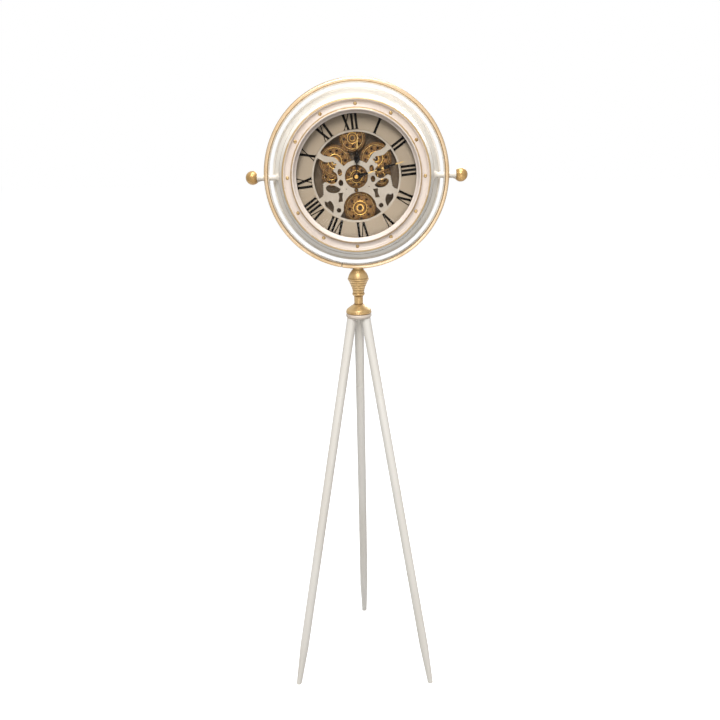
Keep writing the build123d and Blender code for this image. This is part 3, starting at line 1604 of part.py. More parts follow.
# A trumpet between the hoop and the ball, on the rod's thread
neck_mouth_x = knob_x - sqrt(knob_radius ** 2 - knob_neck_flare_radius ** 2)
with BuildPart() as knob_neck_right:
    with BuildSketch(tilt_profile):
        with BuildLine():
            Polyline(
                (neck_mouth_x, knob_neck_flare_radius),
                (knob_x, knob_neck_flare_radius),
                (knob_x, 0),
                (rod_shoulder_x, 0),
                (rod_shoulder_x, knob_neck_radius),
            )
            ThreePointArc(
                (rod_shoulder_x, knob_neck_radius),
                (
                    rod_shoulder_x + 0.6 * (neck_mouth_x - rod_shoulder_x),
                    knob_neck_radius + 0.25 * (knob_neck_flare_radius - knob_neck_radius),
                ),
                (neck_mouth_x, knob_neck_flare_radius),
            )
        make_face()
    revolve(axis=tilt_axis)
    with Locations((knob_x, stand_y, head_z)):
        Sphere(knob_radius, mode=Mode.SUBTRACT)
    with BuildSketch(Plane(origin=(0, stand_y, head_z), z_dir=(1, 0, 0))):
        Circle(rod_thread_radius + knob_thread_clearance)
    extrude(amount=knob_x, mode=Mode.SUBTRACT)
save(knob_neck_right, "knob_neck_right")

with BuildPart() as knob_neck_left:
    mirror(knob_neck_right.part, about=Plane.YZ)
save(knob_neck_left, "knob_neck_left")

# A ball with a blind threaded hole for the end of the rod
with BuildPart() as ball_knob_right:
    with Locations((knob_x, stand_y, head_z)):
        Sphere(knob_radius)
    with BuildSketch(Plane(origin=(0, stand_y, head_z), z_dir=(1, 0, 0))):
        Circle(rod_thread_radius + knob_thread_clearance)
    extrude(amount=rod_end_x + neck_gap, mode=Mode.SUBTRACT)
save(ball_knob_right, "ball_knob_right")

with BuildPart() as ball_knob_left:
    mirror(ball_knob_right.part, about=Plane.YZ)
save(ball_knob_left, "ball_knob_left")
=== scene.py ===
import bpy
import bmesh
import json
from math import atan2, cos, hypot, pi, radians, sin, sqrt
from mathutils import Matrix, Vector

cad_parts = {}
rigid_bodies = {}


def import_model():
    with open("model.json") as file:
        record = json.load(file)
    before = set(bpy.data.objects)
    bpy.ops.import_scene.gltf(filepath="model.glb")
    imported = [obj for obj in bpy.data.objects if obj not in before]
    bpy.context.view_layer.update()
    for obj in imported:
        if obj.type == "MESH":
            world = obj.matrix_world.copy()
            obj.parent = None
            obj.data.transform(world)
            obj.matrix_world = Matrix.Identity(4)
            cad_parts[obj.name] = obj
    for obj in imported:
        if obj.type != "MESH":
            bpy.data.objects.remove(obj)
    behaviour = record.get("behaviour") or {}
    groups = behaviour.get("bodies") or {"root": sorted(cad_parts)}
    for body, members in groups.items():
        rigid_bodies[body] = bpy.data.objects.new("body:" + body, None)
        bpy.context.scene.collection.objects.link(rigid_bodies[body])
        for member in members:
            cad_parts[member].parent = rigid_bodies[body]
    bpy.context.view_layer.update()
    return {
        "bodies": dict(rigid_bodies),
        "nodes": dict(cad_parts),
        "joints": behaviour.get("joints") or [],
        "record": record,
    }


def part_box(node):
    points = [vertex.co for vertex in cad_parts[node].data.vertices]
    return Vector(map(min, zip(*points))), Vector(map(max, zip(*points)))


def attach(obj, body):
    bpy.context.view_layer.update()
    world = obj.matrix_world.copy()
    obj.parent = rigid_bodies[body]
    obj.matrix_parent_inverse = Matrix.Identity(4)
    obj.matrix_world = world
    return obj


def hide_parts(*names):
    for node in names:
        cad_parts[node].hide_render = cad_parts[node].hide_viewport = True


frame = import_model()
nodes = frame["nodes"]
bodies = frame["record"]["behaviour"]["bodies"]
joints = {joint["name"]: joint for joint in frame["record"]["behaviour"]["joints"]}
slotOf = {part["node"]: part["material_slot"] for part in frame["record"]["subparts"]}
bodyOf = {node: body for body, names in bodies.items() for node in names}

# The tilt axis gives the middle of the hoop and the case
head = Vector(joints["head_tilt"]["pos_m"])
standY = head.y
mm = 0.001
perMetre = 1000.0
white = (1, 1, 1, 1)

# Steps of a full turn, by what is turned
turnSteps = {"case": 256, "cover": 192, "column": 96, "ring": 96, "small": 64, "leg": 48}
# Points closer than this are merged, in millimetres
weld = {"turned": 0.01, "cad": 0.002}
# Degrees past which an edge stays sharp; how far a face may turn from the dial and be flat
edgeFinish = {"sharp": 35, "wheelSharp": 40, "segments": 2, "squareToDial": 0.9999}


def report(done):
    print("clock:", done)


# Shapes

def arcPoints(centre, radius, start, end, steps=8):
    # Points of an arc in a profile; the angles are in degrees
    points = []
    for step in range(steps + 1):
        angle = radians(start + (end - start) * step / steps)
        points.append((centre[0] + radius * cos(angle), centre[1] + radius * sin(angle)))
    return points


def threePointArc(first, middle, last, steps):
    # The arc through three points of a profile
    (ax, ay), (bx, by), (cx, cy) = first, middle, last
    double = 2 * (ax * (by - cy) + bx * (cy - ay) + cx * (ay - by))
    ux = ((ax * ax + ay * ay) * (by - cy) + (bx * bx + by * by) * (cy - ay)
          + (cx * cx + cy * cy) * (ay - by)) / double
    uy = ((ax * ax + ay * ay) * (cx - bx) + (bx * bx + by * by) * (ax - cx)
          + (cx * cx + cy * cy) * (bx - ax)) / double
    start, via, end = (atan2(y - uy, x - ux) for x, y in (first, middle, last))
    sweep = (end - start) % (2 * pi)
    if (via - start) % (2 * pi) > sweep:
        sweep -= 2 * pi
    radius = hypot(ax - ux, ay - uy)
    return [
        (ux + radius * cos(start + sweep * step / steps),
         uy + radius * sin(start + sweep * step / steps))
        for step in range(steps + 1)
    ]


def curvePoints(points, steps):
    # A smooth line through a few points of a profile
    line = []
    padded = [points[0]] + list(points) + [points[-1]]
    for a, b, c, d in zip(padded, padded[1:], padded[2:], padded[3:]):
        for step in range(steps):
            t = step / steps
            line.append(tuple(
                0.5 * (2 * q + (r - p) * t + (2 * p - 5 * q + 4 * r - s) * t * t
                       + (3 * q - p - 3 * r + s) * t ** 3)
                for p, q, r, s in zip(a, b, c, d)
            ))
    return line + [points[-1]]


def headPoint(radius, forward):
    # Radius from the dial's middle, and distance forward of the hoop, in millimetres
    return Vector((radius * mm, head.y - forward * mm, head.z))


def standPoint(radius, height):
    return Vector((radius * mm, standY, height * mm))


def lathe(profile, place, axis, centre, steps, angle=360, closed=True):
    # Turns a profile round an axis; a profile that is closed makes a ring
    bm = bmesh.new()
    points = [bm.verts.new(place(*point)) for point in profile]
    edges = [bm.edges.new(pair) for pair in zip(points, points[1:])]
    if closed:
        edges.append(bm.edges.new((points[-1], points[0])))
    bmesh.ops.spin(
        bm, geom=points + edges, cent=centre, axis=axis, angle=radians(angle),
        steps=steps, use_merge=angle == 360,
    )
    bmesh.ops.remove_doubles(bm, verts=bm.verts, dist=weld["turned"] * mm)
    bmesh.ops.recalc_face_normals(bm, faces=bm.faces)
    return bm


def headLathe(profile, steps, angle=360):
    return lathe(profile, headPoint, (0, -1, 0), head, steps, angle)


def copyRound(bm, centre, count):
    # Copies what is there round a circle of the dial
    bmesh.ops.spin(
        bm, geom=bm.verts[:] + bm.edges[:] + bm.faces[:], cent=centre, axis=(0, -1, 0),
        angle=2 * pi * (count - 1) / count, steps=count - 1, use_duplicate=True,
    )


def thicken(bm, back):
    # Lifts flat faces off their place, towards the back by so many millimetres
    made = bmesh.ops.extrude_face_region(bm, geom=bm.faces[:])
    lifted = [item for item in made["geom"] if isinstance(item, bmesh.types.BMVert)]
    bmesh.ops.translate(bm, vec=(0, back * mm, 0), verts=lifted)


def closeEnds(bm):
    ends = [edge for edge in bm.edges if edge.is_boundary]
    bmesh.ops.holes_fill(bm, edges=ends, sides=0)
    bmesh.ops.recalc_face_normals(bm, faces=bm.faces)


def addTo(bm, part, slot=0):
    # Joins one bmesh to another, with its faces in a material slot of their own
    for face in part.faces:
        face.material_index = slot
    mesh = bpy.data.meshes.new("part")
    part.to_mesh(mesh)
    part.free()
    bm.from_mesh(mesh)
    bpy.data.meshes.remove(mesh)


def finishPiece(
    bm, name, materials, replaced, bevelWidth=0, smoothAngle=edgeFinish["sharp"], flatFronts=False
):
    # Makes the object, smooths it, and hands it over in place of its CAD nodes
    mesh = bpy.data.meshes.new(name)
    bm.to_mesh(mesh)
    bm.free()
    mesh.polygons.foreach_set("use_smooth", [True] * len(mesh.polygons))
    mesh.set_sharp_from_angle(angle=radians(smoothAngle))
    if flatFronts:
        # Faces square to the dial are shaded flat, so long triangles leave no streaks
        for polygon in mesh.polygons:
            polygon.use_smooth = abs(polygon.normal.y) < edgeFinish["squareToDial"]
    piece = bpy.data.objects.new(name, mesh)
    bpy.context.scene.collection.objects.link(piece)
    for material in materials if isinstance(materials, tuple) else (materials,):
        mesh.materials.append(material)
    if bevelWidth:
        bevel = piece.modifiers.new("edges", "BEVEL")
        bevel.width = bevelWidth * mm
        bevel.segments = edgeFinish["segments"]
        bevel.limit_method = "ANGLE"
        bevel.angle_limit = radians(smoothAngle)
        bevel.harden_normals = True
    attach(piece, bodyOf[replaced[0]])
    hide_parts(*replaced)


def mergedCopy(node):
    bm = bmesh.new()
    bm.from_mesh(nodes[node].data)
    bmesh.ops.remove_doubles(bm, verts=bm.verts, dist=weld["cad"] * mm)
    bmesh.ops.recalc_face_normals(bm, faces=bm.faces)
    for face in bm.faces:
        face.material_index = 0
    return bm


def pieceName(node):
    words = node.split("_")
    return words[0] + "".join(word.capitalize() for word in words[1:])


def softenedCopy(node, material, bevelWidth, name=None):
    # A merged copy of a CAD node, with its sharp edges broken
    finishPiece(
        mergedCopy(node), name or pieceName(node), material, (node,), bevelWidth, flatFronts=True
    )


def wheelPlace(node):
    # The middle of a wheel and its radius, in metres
    low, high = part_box(node)
    middle = Vector(((low.x + high.x) / 2, head.y, (low.z + high.z) / 2))
    return middle, (high.x - low.x) / 2


# Materials

def paint(red, green, blue):
    # A colour as it shows on a screen, from 0 to 255, as linear light
    def linear(value):
        share = value / 255
        return share / 12.92 if share <= 0.04045 else ((share + 0.055) / 1.055) ** 2.4
    return (linear(red), linear(green), linear(blue), 1)


class Tree:
    # A short way to place and join shader nodes
    def __init__(self, tree):
        self.tree = tree

    def join(self, source, target):
        self.tree.links.new(source, target)

    def node(self, kind, inputs=None, **settings):
        made = self.tree.nodes.new(kind)
        for key, value in settings.items():
            setattr(made, key, value)
        for key, value in (inputs or {}).items():
            if isinstance(value, bpy.types.NodeSocket):
                self.join(value, made.inputs[key])
            else:
                made.inputs[key].default_value = value
        return made

    def maths(self, operation, first, second=0.0, third=None, clamp=False):
        inputs = {0: first, 1: second}
        if third is not None:
            inputs[2] = third
        return self.node("ShaderNodeMath", inputs, operation=operation, use_clamp=clamp).outputs[0]

    def strongest(self, masks):
        # The greatest of several masks at each point
        result = masks[0]
        for mask in masks[1:]:
            result = self.maths("MAXIMUM", result, mask)
        return result

    def length(self, first, second):
        squares = self.maths(
            "ADD", self.maths("MULTIPLY", first, first), self.maths("MULTIPLY", second, second)
        )
        return self.maths("SQRT", squares)

    def mixColour(self, factor, first, second):
        return self.node(
            "ShaderNodeMix", {0: factor, 6: first, 7: second}, data_type="RGBA"
        ).outputs[2]

    def ramp(self, factor, low, high, first=0.0, last=1.0):
        # A smooth step from one value to another
        return self.node(
            "ShaderNodeMapRange", {0: factor, 1: low, 2: high, 3: first, 4: last},
            interpolation_type="SMOOTHSTEP",
        ).outputs[0]

    def band(self, value, middle, halfWidth, soft):
        # 1 inside a band of a value, fading over its soft edge
        away = self.maths("ABSOLUTE", self.maths("SUBTRACT", value, middle))
        return self.ramp(away, halfWidth + soft, halfWidth)

    def noise(self, vector, scale, detail=3.0):
        return self.node(
            "ShaderNodeTexNoise",
            {"Vector": vector, "Scale": scale, "Detail": detail, "Roughness": 0.55},
        ).outputs[0]

    def place(self, scale=(1, 1, 1)):
        # Object coordinates, stretched by a Mapping node
        coordinates = self.node("ShaderNodeTexCoord").outputs["Object"]
        return self.node("ShaderNodeMapping", {"Vector": coordinates, "Scale": scale}).outputs[0]

    def parts(self, vector):
        return self.node("ShaderNodeSeparateXYZ", {0: vector}).outputs

    def distance(self, flat, middle):
        # From a wheel's middle, in metres, for a place that is flattened to the dial
        return self.node(
            "ShaderNodeVectorMath", {0: flat, 1: (middle.x, 0, middle.z)}, operation="DISTANCE"
        ).outputs["Value"]


def newGroup(name, inputs, outputs):
    group = bpy.data.node_groups.new(name, "ShaderNodeTree")
    kinds = {"value": "NodeSocketFloat", "colour": "NodeSocketColor", "vector": "NodeSocketVector"}
    for label, kind, value in inputs:
        socket = group.interface.new_socket(label, in_out="INPUT", socket_type=kinds[kind])
        if value is not None:
            socket.default_value = value
    for label, kind in outputs:
        group.interface.new_socket(label, in_out="OUTPUT", socket_type=kinds[kind])
    given = group.nodes.new("NodeGroupInput").outputs
    out = group.nodes.new("NodeGroupOutput").inputs
    return group, Tree(group), given, out


# Edges and detail of the clouds and of the fine grain, which also carries the grime
aging = {
    "cloudEdges": (0.35, 0.7), "cloudDetail": 4.0,
    "grainScale": 22.0, "grainDetail": 2.0, "grimeEdges": (0.62, 0.8),
}


def makeAgedColour():
    # Two tones of one finish, clouded over the surface, with fine specks of grime
    group, tree, given, out = newGroup(
        "agedColour",
        [("Vector", "vector", None), ("Colour", "colour", (0.8, 0.8, 0.8, 1)),
         ("Shade", "colour", (0.6, 0.6, 0.6, 1)), ("Grime", "colour", (0.2, 0.15, 0.1, 1)),
         ("Clouds", "value", 14.0), ("Amount", "value", 0.5), ("Grime Amount", "value", 0.2)],
        [("Colour", "colour"), ("Mask", "value"), ("Height", "value")],
    )
    clouds = tree.noise(given["Vector"], given["Clouds"], aging["cloudDetail"])
    mask = tree.maths("MULTIPLY", tree.ramp(clouds, *aging["cloudEdges"]), given["Amount"])
    colour = tree.mixColour(mask, given["Colour"], given["Shade"])
    scale = tree.maths("MULTIPLY", given["Clouds"], aging["grainScale"])
    fine = tree.noise(given["Vector"], scale, aging["grainDetail"])
    grimy = tree.ramp(fine, *aging["grimeEdges"])
    specks = tree.maths("MULTIPLY", grimy, given["Grime Amount"])
    tree.join(tree.mixColour(specks, colour, given["Grime"]), out["Colour"])
    tree.join(mask, out["Mask"])
    tree.join(fine, out["Height"])
    return group


def makeRound():
    # Where a point lies on the head, in millimetres: its radius, and how far forward it is
    group, tree, given, out = newGroup(
        "roundTheDial", [("Vector", "vector", None)], [("Radius", "value"), ("Forward", "value")]
    )
    x, y, z = tree.parts(given["Vector"])
    across = tree.maths("MULTIPLY", x, perMetre)
    up = tree.maths("MULTIPLY", tree.maths("SUBTRACT", z, head.z), perMetre)
    forward = tree.maths("MULTIPLY", tree.maths("SUBTRACT", head.y, y), perMetre)
    tree.join(tree.length(across, up), out["Radius"])
    tree.join(forward, out["Forward"])
    return group


agedColour = makeAgedColour()
roundTheDial = makeRound()


def newMaterial(name, colour, roughness, metallic=0.0, sockets=None):
    # A Principled material whose other sockets are set by name
    material = bpy.data.materials.new(name)
    material.use_nodes = True
    material.diffuse_color = colour
    shader = material.node_tree.nodes["Principled BSDF"]
    values = {"Base Color": colour, "Roughness": roughness, "Metallic": metallic}
    for label, value in {**values, **(sockets or {})}.items():
        shader.inputs[label].default_value = value
    return material, Tree(material.node_tree), shader


def agedTones(tree, place, tone, shade, grime, clouds, amount, specks):
    return tree.node("ShaderNodeGroup", {
        "Vector": place, "Colour": tone, "Shade": shade, "Grime": grime,
        "Clouds": clouds, "Amount": amount, "Grime Amount": specks,
    }, node_tree=agedColour).outputs


def dialPlace(tree, place):
    return tree.node("ShaderNodeGroup", {"Vector": place}, node_tree=roundTheDial).outputs


def dress(tree, shader, colour, aged, grain, depth, wear=0.0):
    # Joins a finish's colour, a fine grain, and a roughness that follows its clouds
    tree.join(colour, shader.inputs["Base Color"])
    if wear:
        rough = shader.inputs["Roughness"]
        tree.join(tree.maths("MULTIPLY_ADD", aged["Mask"], wear, rough.default_value), rough)
    bump = tree.node(
        "ShaderNodeBump", {"Height": aged["Height"], "Strength": grain, "Distance": depth * mm}
    )
    tree.join(bump.outputs[0], shader.inputs["Normal"])


# The hoop's two-tone paint, cream inside its gold, and the painted shade along its outer side and
# inner edge
hoopShadeAndCream = {
    "outerEdge": (201.6, 203.6), "innerEdge": 195.6, "paintedFrom": (195.2, 194.8), "shadeStrength": 0.8,
    "glaze": paint(134, 102, 58), "inside": paint(236, 228, 216), "uneven": 1.2,
}


def goldPaint(name, tone, shade, creamInside=False, creases=(), clouds=18.0, metallic=0.6):
    # Antique gold: brushed and clouded, with brown painted shade in creases and along edges
    material, tree, shader = newMaterial(name, tone, roughness=0.3, metallic=metallic)
    place = tree.place()
    aged = agedTones(tree, place, tone, shade, paint(86, 62, 30), clouds, amount=0.7, specks=0.35)
    colour = aged["Colour"]
    glaze = []
    # Painted shade in the turned creases
    if creases:
        height = tree.maths("MULTIPLY", tree.parts(place)[2], perMetre)
        for middle, halfWidth, weight in creases:
            band = tree.band(height, middle, halfWidth, soft=0.9)
            glaze.append(tree.maths("MULTIPLY", band, weight))
    # Painted shade along the hoop's outer side and beside its inner edge
    if creamInside:
        radius = dialPlace(tree, place)["Radius"]
        glaze.append(tree.ramp(radius, *hoopShadeAndCream["outerEdge"], 0.0, hoopShadeAndCream["shadeStrength"]))
        inner = tree.band(radius, hoopShadeAndCream["innerEdge"], halfWidth=0.5, soft=0.8)
        glaze.append(tree.maths("MULTIPLY", inner, hoopShadeAndCream["shadeStrength"]))
    if glaze:
        colour = tree.mixColour(tree.strongest(glaze), colour, hoopShadeAndCream["glaze"])
    if creamInside:
        edge = tree.maths("MULTIPLY_ADD", aged["Height"], hoopShadeAndCream["uneven"], radius)
        inside = tree.ramp(edge, *hoopShadeAndCream["paintedFrom"])
        colour = tree.mixColour(inside, colour, hoopShadeAndCream["inside"])
        metal = tree.maths("MULTIPLY_ADD", inside, -metallic, metallic)
        tree.join(metal, shader.inputs["Metallic"])
    dress(tree, shader, colour, aged, grain=0.12, depth=0.15, wear=0.22)
    return material


def creamPaint(name, tone, shade, clouds=9.0, brush=(1, 1, 1)):
    # Satin cream enamel over wood or steel, a little uneven
    material, tree, shader = newMaterial(
        name, tone, roughness=0.38, sockets={"Coat Weight": 0.18, "Coat Roughness": 0.25}
    )
    grime = paint(176, 150, 118)
    aged = agedTones(tree, tree.place(brush), tone, shade, grime, clouds, amount=0.6, specks=0.12)
    dress(tree, shader, aged["Colour"], aged, grain=0.10, depth=0.2, wear=0.16)
    return material


# Where the lines are rubbed thin: the scale of the noise, its edges, and what is left there
rubbing = {"scale": 46.0, "edges": (0.24, 0.42), "left": 0.55}


def linedPaint(name, tone, shade, lines, lineColour, lineMetal=0.0, ragged=1.6):
    # Cream enamel with rubbed lines, of gold paint or of painted shade in creases: each is radius
    # or forward, its middle and its half width
    material, tree, shader = newMaterial(
        name, tone, roughness=0.36, sockets={"Coat Weight": 0.15, "Coat Roughness": 0.25}
    )
    place = tree.place()
    grime = paint(150, 120, 86)
    aged = agedTones(tree, place, tone, shade, grime, clouds=12.0, amount=0.55, specks=0.14)
    where = dialPlace(tree, place)
    wander = tree.maths("MULTIPLY", tree.maths("SUBTRACT", aged["Height"], 0.5), ragged)
    bands = [
        tree.band(tree.maths("ADD", where[side], wander), middle, halfWidth, soft=0.5)
        for side, middle, halfWidth in lines
    ]
    patches = tree.noise(place, rubbing["scale"])
    rubbed = tree.ramp(patches, *rubbing["edges"], rubbing["left"])
    line = tree.maths("MULTIPLY", tree.strongest(bands), rubbed)
    if lineMetal:
        tree.join(tree.maths("MULTIPLY", line, lineMetal), shader.inputs["Metallic"])
    colour = tree.mixColour(line, aged["Colour"], lineColour)
    dress(tree, shader, colour, aged, grain=0.08, depth=0.2)
    return material


def agedBrass(name, tone, dark, roughness, clouds=60.0, metallic=0.7):
    # Brass with brown patina
    material, tree, shader = newMaterial(name, tone, roughness, metallic)
    grime = paint(40, 28, 14)
    aged = agedTones(tree, tree.place(), tone, dark, grime, clouds, amount=0.85, specks=0.45)
    dress(tree, shader, aged["Colour"], aged, grain=0.25, depth=0.1, wear=0.3)
    return material


def plainFinish(name, tone, shade, roughness, metallic=0.0, clouds=30.0, grain=0.1, shine=0.5):
    # Steel, enamel and plastic; a low shine is a matt printed finish
    material, tree, shader = newMaterial(
        name, tone, roughness, metallic, {"Specular IOR Level": shine}
    )
    aged = agedTones(tree, tree.place(), tone, shade, shade, clouds, amount=0.5, specks=0.3)
    dress(tree, shader, aged["Colour"], aged, grain, depth=0.1, wear=0.2)
    return material


# The wheel face's tones; its dark colour is patina and painted shade, laid on the cut walls,
# beside the rings and round the stars
wheelFace = {
    "tone": paint(126, 88, 41), "shade": paint(84, 58, 27), "grime": paint(44, 31, 15),
    "patinaAndShade": paint(34, 23, 12), "wallShade": (0.75, 0.45), "ringBorder": 1.1,
    "starShadow": (4.2, 3.2), "starShare": 0.62, "starTurn": 6,
}


def wheelBrass(name, middle, rings, stars):
    # Wheel face: brown patina, with painted shade on the cut walls, beside each raised ring and
    # round each star
    tone, shade, grime = wheelFace["tone"], wheelFace["shade"], wheelFace["grime"]
    material, tree, shader = newMaterial(name, tone, roughness=0.42, metallic=0.5)
    place = tree.place()
    aged = agedTones(tree, place, tone, shade, grime, clouds=150.0, amount=0.85, specks=0.35)
    facing = tree.parts(tree.node("ShaderNodeTexCoord").outputs["Normal"])[1]
    patinaAndShade = [tree.ramp(tree.maths("ABSOLUTE", facing), *wheelFace["wallShade"])]
    away = tree.maths("MULTIPLY", tree.distance(tree.place((1, 0, 1)), middle), perMetre)
    for radius, width, height in rings:
        halfWidth = width / 2 + wheelFace["ringBorder"]
        patinaAndShade.append(tree.band(away, radius, halfWidth, soft=0.5))
    # How far a point lies from the nearest star of its circle, for the painted shadow round each
    # star
    circle, count = stars
    x, y, z = tree.parts(place)
    bearing = tree.maths(
        "ARCTAN2", tree.maths("SUBTRACT", z, middle.z), tree.maths("SUBTRACT", x, middle.x)
    )
    angle = tree.maths("SUBTRACT", bearing, radians(wheelFace["starTurn"]))
    step = tree.maths("MULTIPLY", angle, count / (2 * pi))
    past = tree.maths("SUBTRACT", step, tree.maths("ROUND", step))
    sideways = tree.maths("MULTIPLY", tree.maths("MULTIPLY", past, 2 * pi / count), away)
    outward = tree.maths("SUBTRACT", away, circle)
    patinaAndShade.append(tree.ramp(
        tree.length(sideways, outward), *wheelFace["starShadow"], 0.0, wheelFace["starShare"]
    ))
    colour = tree.mixColour(tree.strongest(patinaAndShade), aged["Colour"], wheelFace["patinaAndShade"])
    dress(tree, shader, colour, aged, grain=0.25, depth=0.1, wear=0.3)
    return material


def handPaint(name, goldBands, tail=False):
    # Black enamel with gold stretches, by distance from the hub
    black, worn, grime = paint(16, 12, 9), paint(28, 21, 14), paint(70, 52, 30)
    material, tree, shader = newMaterial(
        name, black, roughness=0.4, sockets={"Specular IOR Level": 0.1}
    )
    place = tree.place()
    aged = agedTones(tree, place, black, worn, grime, clouds=90.0, amount=0.6, specks=0.3)
    radius = dialPlace(tree, place)["Radius"]
    bands = [
        tree.band(radius, (start + end) / 2, (end - start) / 2, soft=0.8)
        for start, end in goldBands
    ]
    if tail:
        # The tail behind the hub is gold all the way
        bands.append(tree.ramp(tree.parts(place)[0], -7.5 * mm, -8 * mm))
    gold = tree.strongest(bands)
    tree.join(tree.maths("MULTIPLY", gold, 0.8), shader.inputs["Metallic"])
    colour = tree.mixColour(gold, aged["Colour"], paint(206, 170, 106))
    dress(tree, shader, colour, aged, grain=0.08, depth=0.05)
    return material


def carrierPaint(name, tone, dark, wheelNames):
    # Bronze grey plate, with a painted shadow behind each wheel so its windows read dark
    material, tree, shader = newMaterial(
        name, tone, roughness=0.7, sockets={"Specular IOR Level": 0.15}
    )
    aged = agedTones(tree, tree.place(), tone, dark, dark, clouds=60.0, amount=0.5, specks=0.3)
    flat = tree.place((1, 0, 1))
    shadowDiscs = []
    for wheelName in wheelNames:
        middle, radius = wheelPlace(wheelName)
        shadowDiscs.append(tree.ramp(tree.distance(flat, middle), radius - 3 * mm, radius - 5 * mm))
    colour = tree.mixColour(tree.strongest(shadowDiscs), aged["Colour"], paint(30, 23, 18))
    dress(tree, shader, colour, aged, grain=0.1, depth=0.1)
    return material


def clearGlass(name):
    # Clear for shadows and scattered light, so the dial behind it is lit
    material, tree, shader = newMaterial(
        name, white, roughness=0.0, sockets={"Transmission Weight": 1.0, "IOR": 1.1}
    )
    smear = tree.ramp(tree.noise(tree.place(), scale=9.0), 0.45, 0.8)
    tree.join(tree.mixColour(smear, white, (0.97, 0.98, 0.975, 1)), shader.inputs["Base Color"])
    path = tree.node("ShaderNodeLightPath").outputs
    through = tree.maths("MAXIMUM", path["Is Shadow Ray"], path["Is Diffuse Ray"])
    clear = tree.node("ShaderNodeBsdfTransparent").outputs[0]
    mixed = tree.node("ShaderNodeMixShader", {0: through, 1: shader.outputs[0], 2: clear})
    tree.join(mixed.outputs[0], tree.tree.nodes["Material Output"].inputs[0])
    return material


# Painted shade in the column's creases: height, half width and strength of each
creaseShadeBands = (
    (1021.9, 0.5, 0.75), (1027.8, 0.5, 0.75), (1033.7, 0.5, 0.75), (1039.5, 0.5, 0.75),
    (1045.6, 0.5, 0.9), (1050.4, 0.4, 0.7), (1015.8, 0.6, 0.9), (1007.8, 0.6, 0.9),
    (989.6, 1.0, 0.9), (968.2, 0.8, 0.9), (1070.5, 1.4, 0.6),
)
# The shell's lines are painted shade in its shoulder step and in the crease before its rim bead;
# the bezel's lines are its gold paint
shellCreaseShade = [("Forward", 12.3, 0.5), ("Forward", -15.6, 0.5)]
bezelLines = [("Radius", 158.6, 2.2), ("Radius", 139.6, 1.5)]

hoopGold = goldPaint("hoopGold", paint(218, 192, 158), paint(194, 164, 122), creamInside=True)
knobGold = goldPaint("knobGold", paint(184, 150, 96), paint(144, 108, 60), clouds=40.0)
columnGold = goldPaint(
    "columnGold", paint(208, 176, 124), paint(156, 120, 70), creases=creaseShadeBands, clouds=30.0,
    metallic=0.5,
)
shellCream = linedPaint(
    "shellCream", paint(243, 240, 233), paint(236, 231, 222), shellCreaseShade, paint(200, 190, 177),
    ragged=0.6,
)
bezelCream = linedPaint(
    "bezelCream", paint(236, 223, 213), paint(229, 213, 202), bezelLines, paint(186, 158, 116),
    lineMetal=0.35,
)
rivetBrass = agedBrass("rivetBrass", paint(188, 160, 112), paint(128, 98, 56), 0.34, 300.0)
pivotCream = creamPaint("pivotCream", paint(240, 234, 224), paint(228, 220, 208))
hubCream = creamPaint("hubCream", paint(234, 220, 206), paint(216, 196, 176), clouds=24.0)
legCream = creamPaint(
    "legCream", paint(247, 243, 236), paint(239, 233, 223), clouds=16.0, brush=(1, 1, 0.15)
)
brassPlain = agedBrass("brassPlain", paint(214, 172, 96), paint(170, 126, 62), 0.3)
gearBrass = agedBrass("gearBrass", paint(132, 94, 47), paint(76, 52, 25), 0.42, 150.0, 0.5)
# Polished brass for the wheels' raised rings, beads and bosses and the hand cap, its tone lifted
# as a painted highlight
gearBright = agedBrass("gearBright", paint(224, 178, 98), paint(150, 108, 54), 0.24, 120.0, 0.75)
eyeletBrass = agedBrass("eyeletBrass", paint(74, 55, 29), paint(30, 22, 12), 0.35, 200.0, 0.5)
steelPlain = plainFinish("steelPlain", paint(176, 176, 178), paint(130, 130, 132), 0.35, 0.95)
dialEnamel = plainFinish(
    "dialEnamel", paint(186, 169, 147), paint(177, 158, 133), 0.6, clouds=8.0, shine=0.2
)
skeletonEnamel = plainFinish(
    "skeletonEnamel", paint(200, 188, 172), paint(182, 168, 149), 0.42, clouds=20.0
)
numeralEnamel = plainFinish(
    "numeralEnamel", paint(14, 11, 8), paint(24, 18, 13), 0.5, clouds=80.0, grain=0.04, shine=0.05
)
carrierEnamel = carrierPaint(
    "carrierEnamel", paint(122, 105, 86), paint(88, 75, 60), [
        "upper_left_gear", "upper_right_gear", "top_gear", "bottom_gear", "left_gear",
        "right_gear", "centre_gear",
    ],
)
blackPlastic = plainFinish(
    "blackPlastic", paint(40, 40, 42), paint(52, 52, 54), 0.55, clouds=220.0, grain=0.4
)
palePlastic = plainFinish("palePlastic", paint(216, 212, 204), paint(200, 196, 186), 0.4)
cellWrap = plainFinish("cellWrap", paint(52, 88, 70), paint(40, 70, 56), 0.3, 0.2)
hourPaint = handPaint("hourPaint", [(58, 90)])
minutePaint = handPaint("minutePaint", [(27, 45), (57, 61), (89, 110)], tail=True)
glassClear = clearGlass("glassClear")
report("materials")

# Every CAD node that stays in view gets the finish of its slot

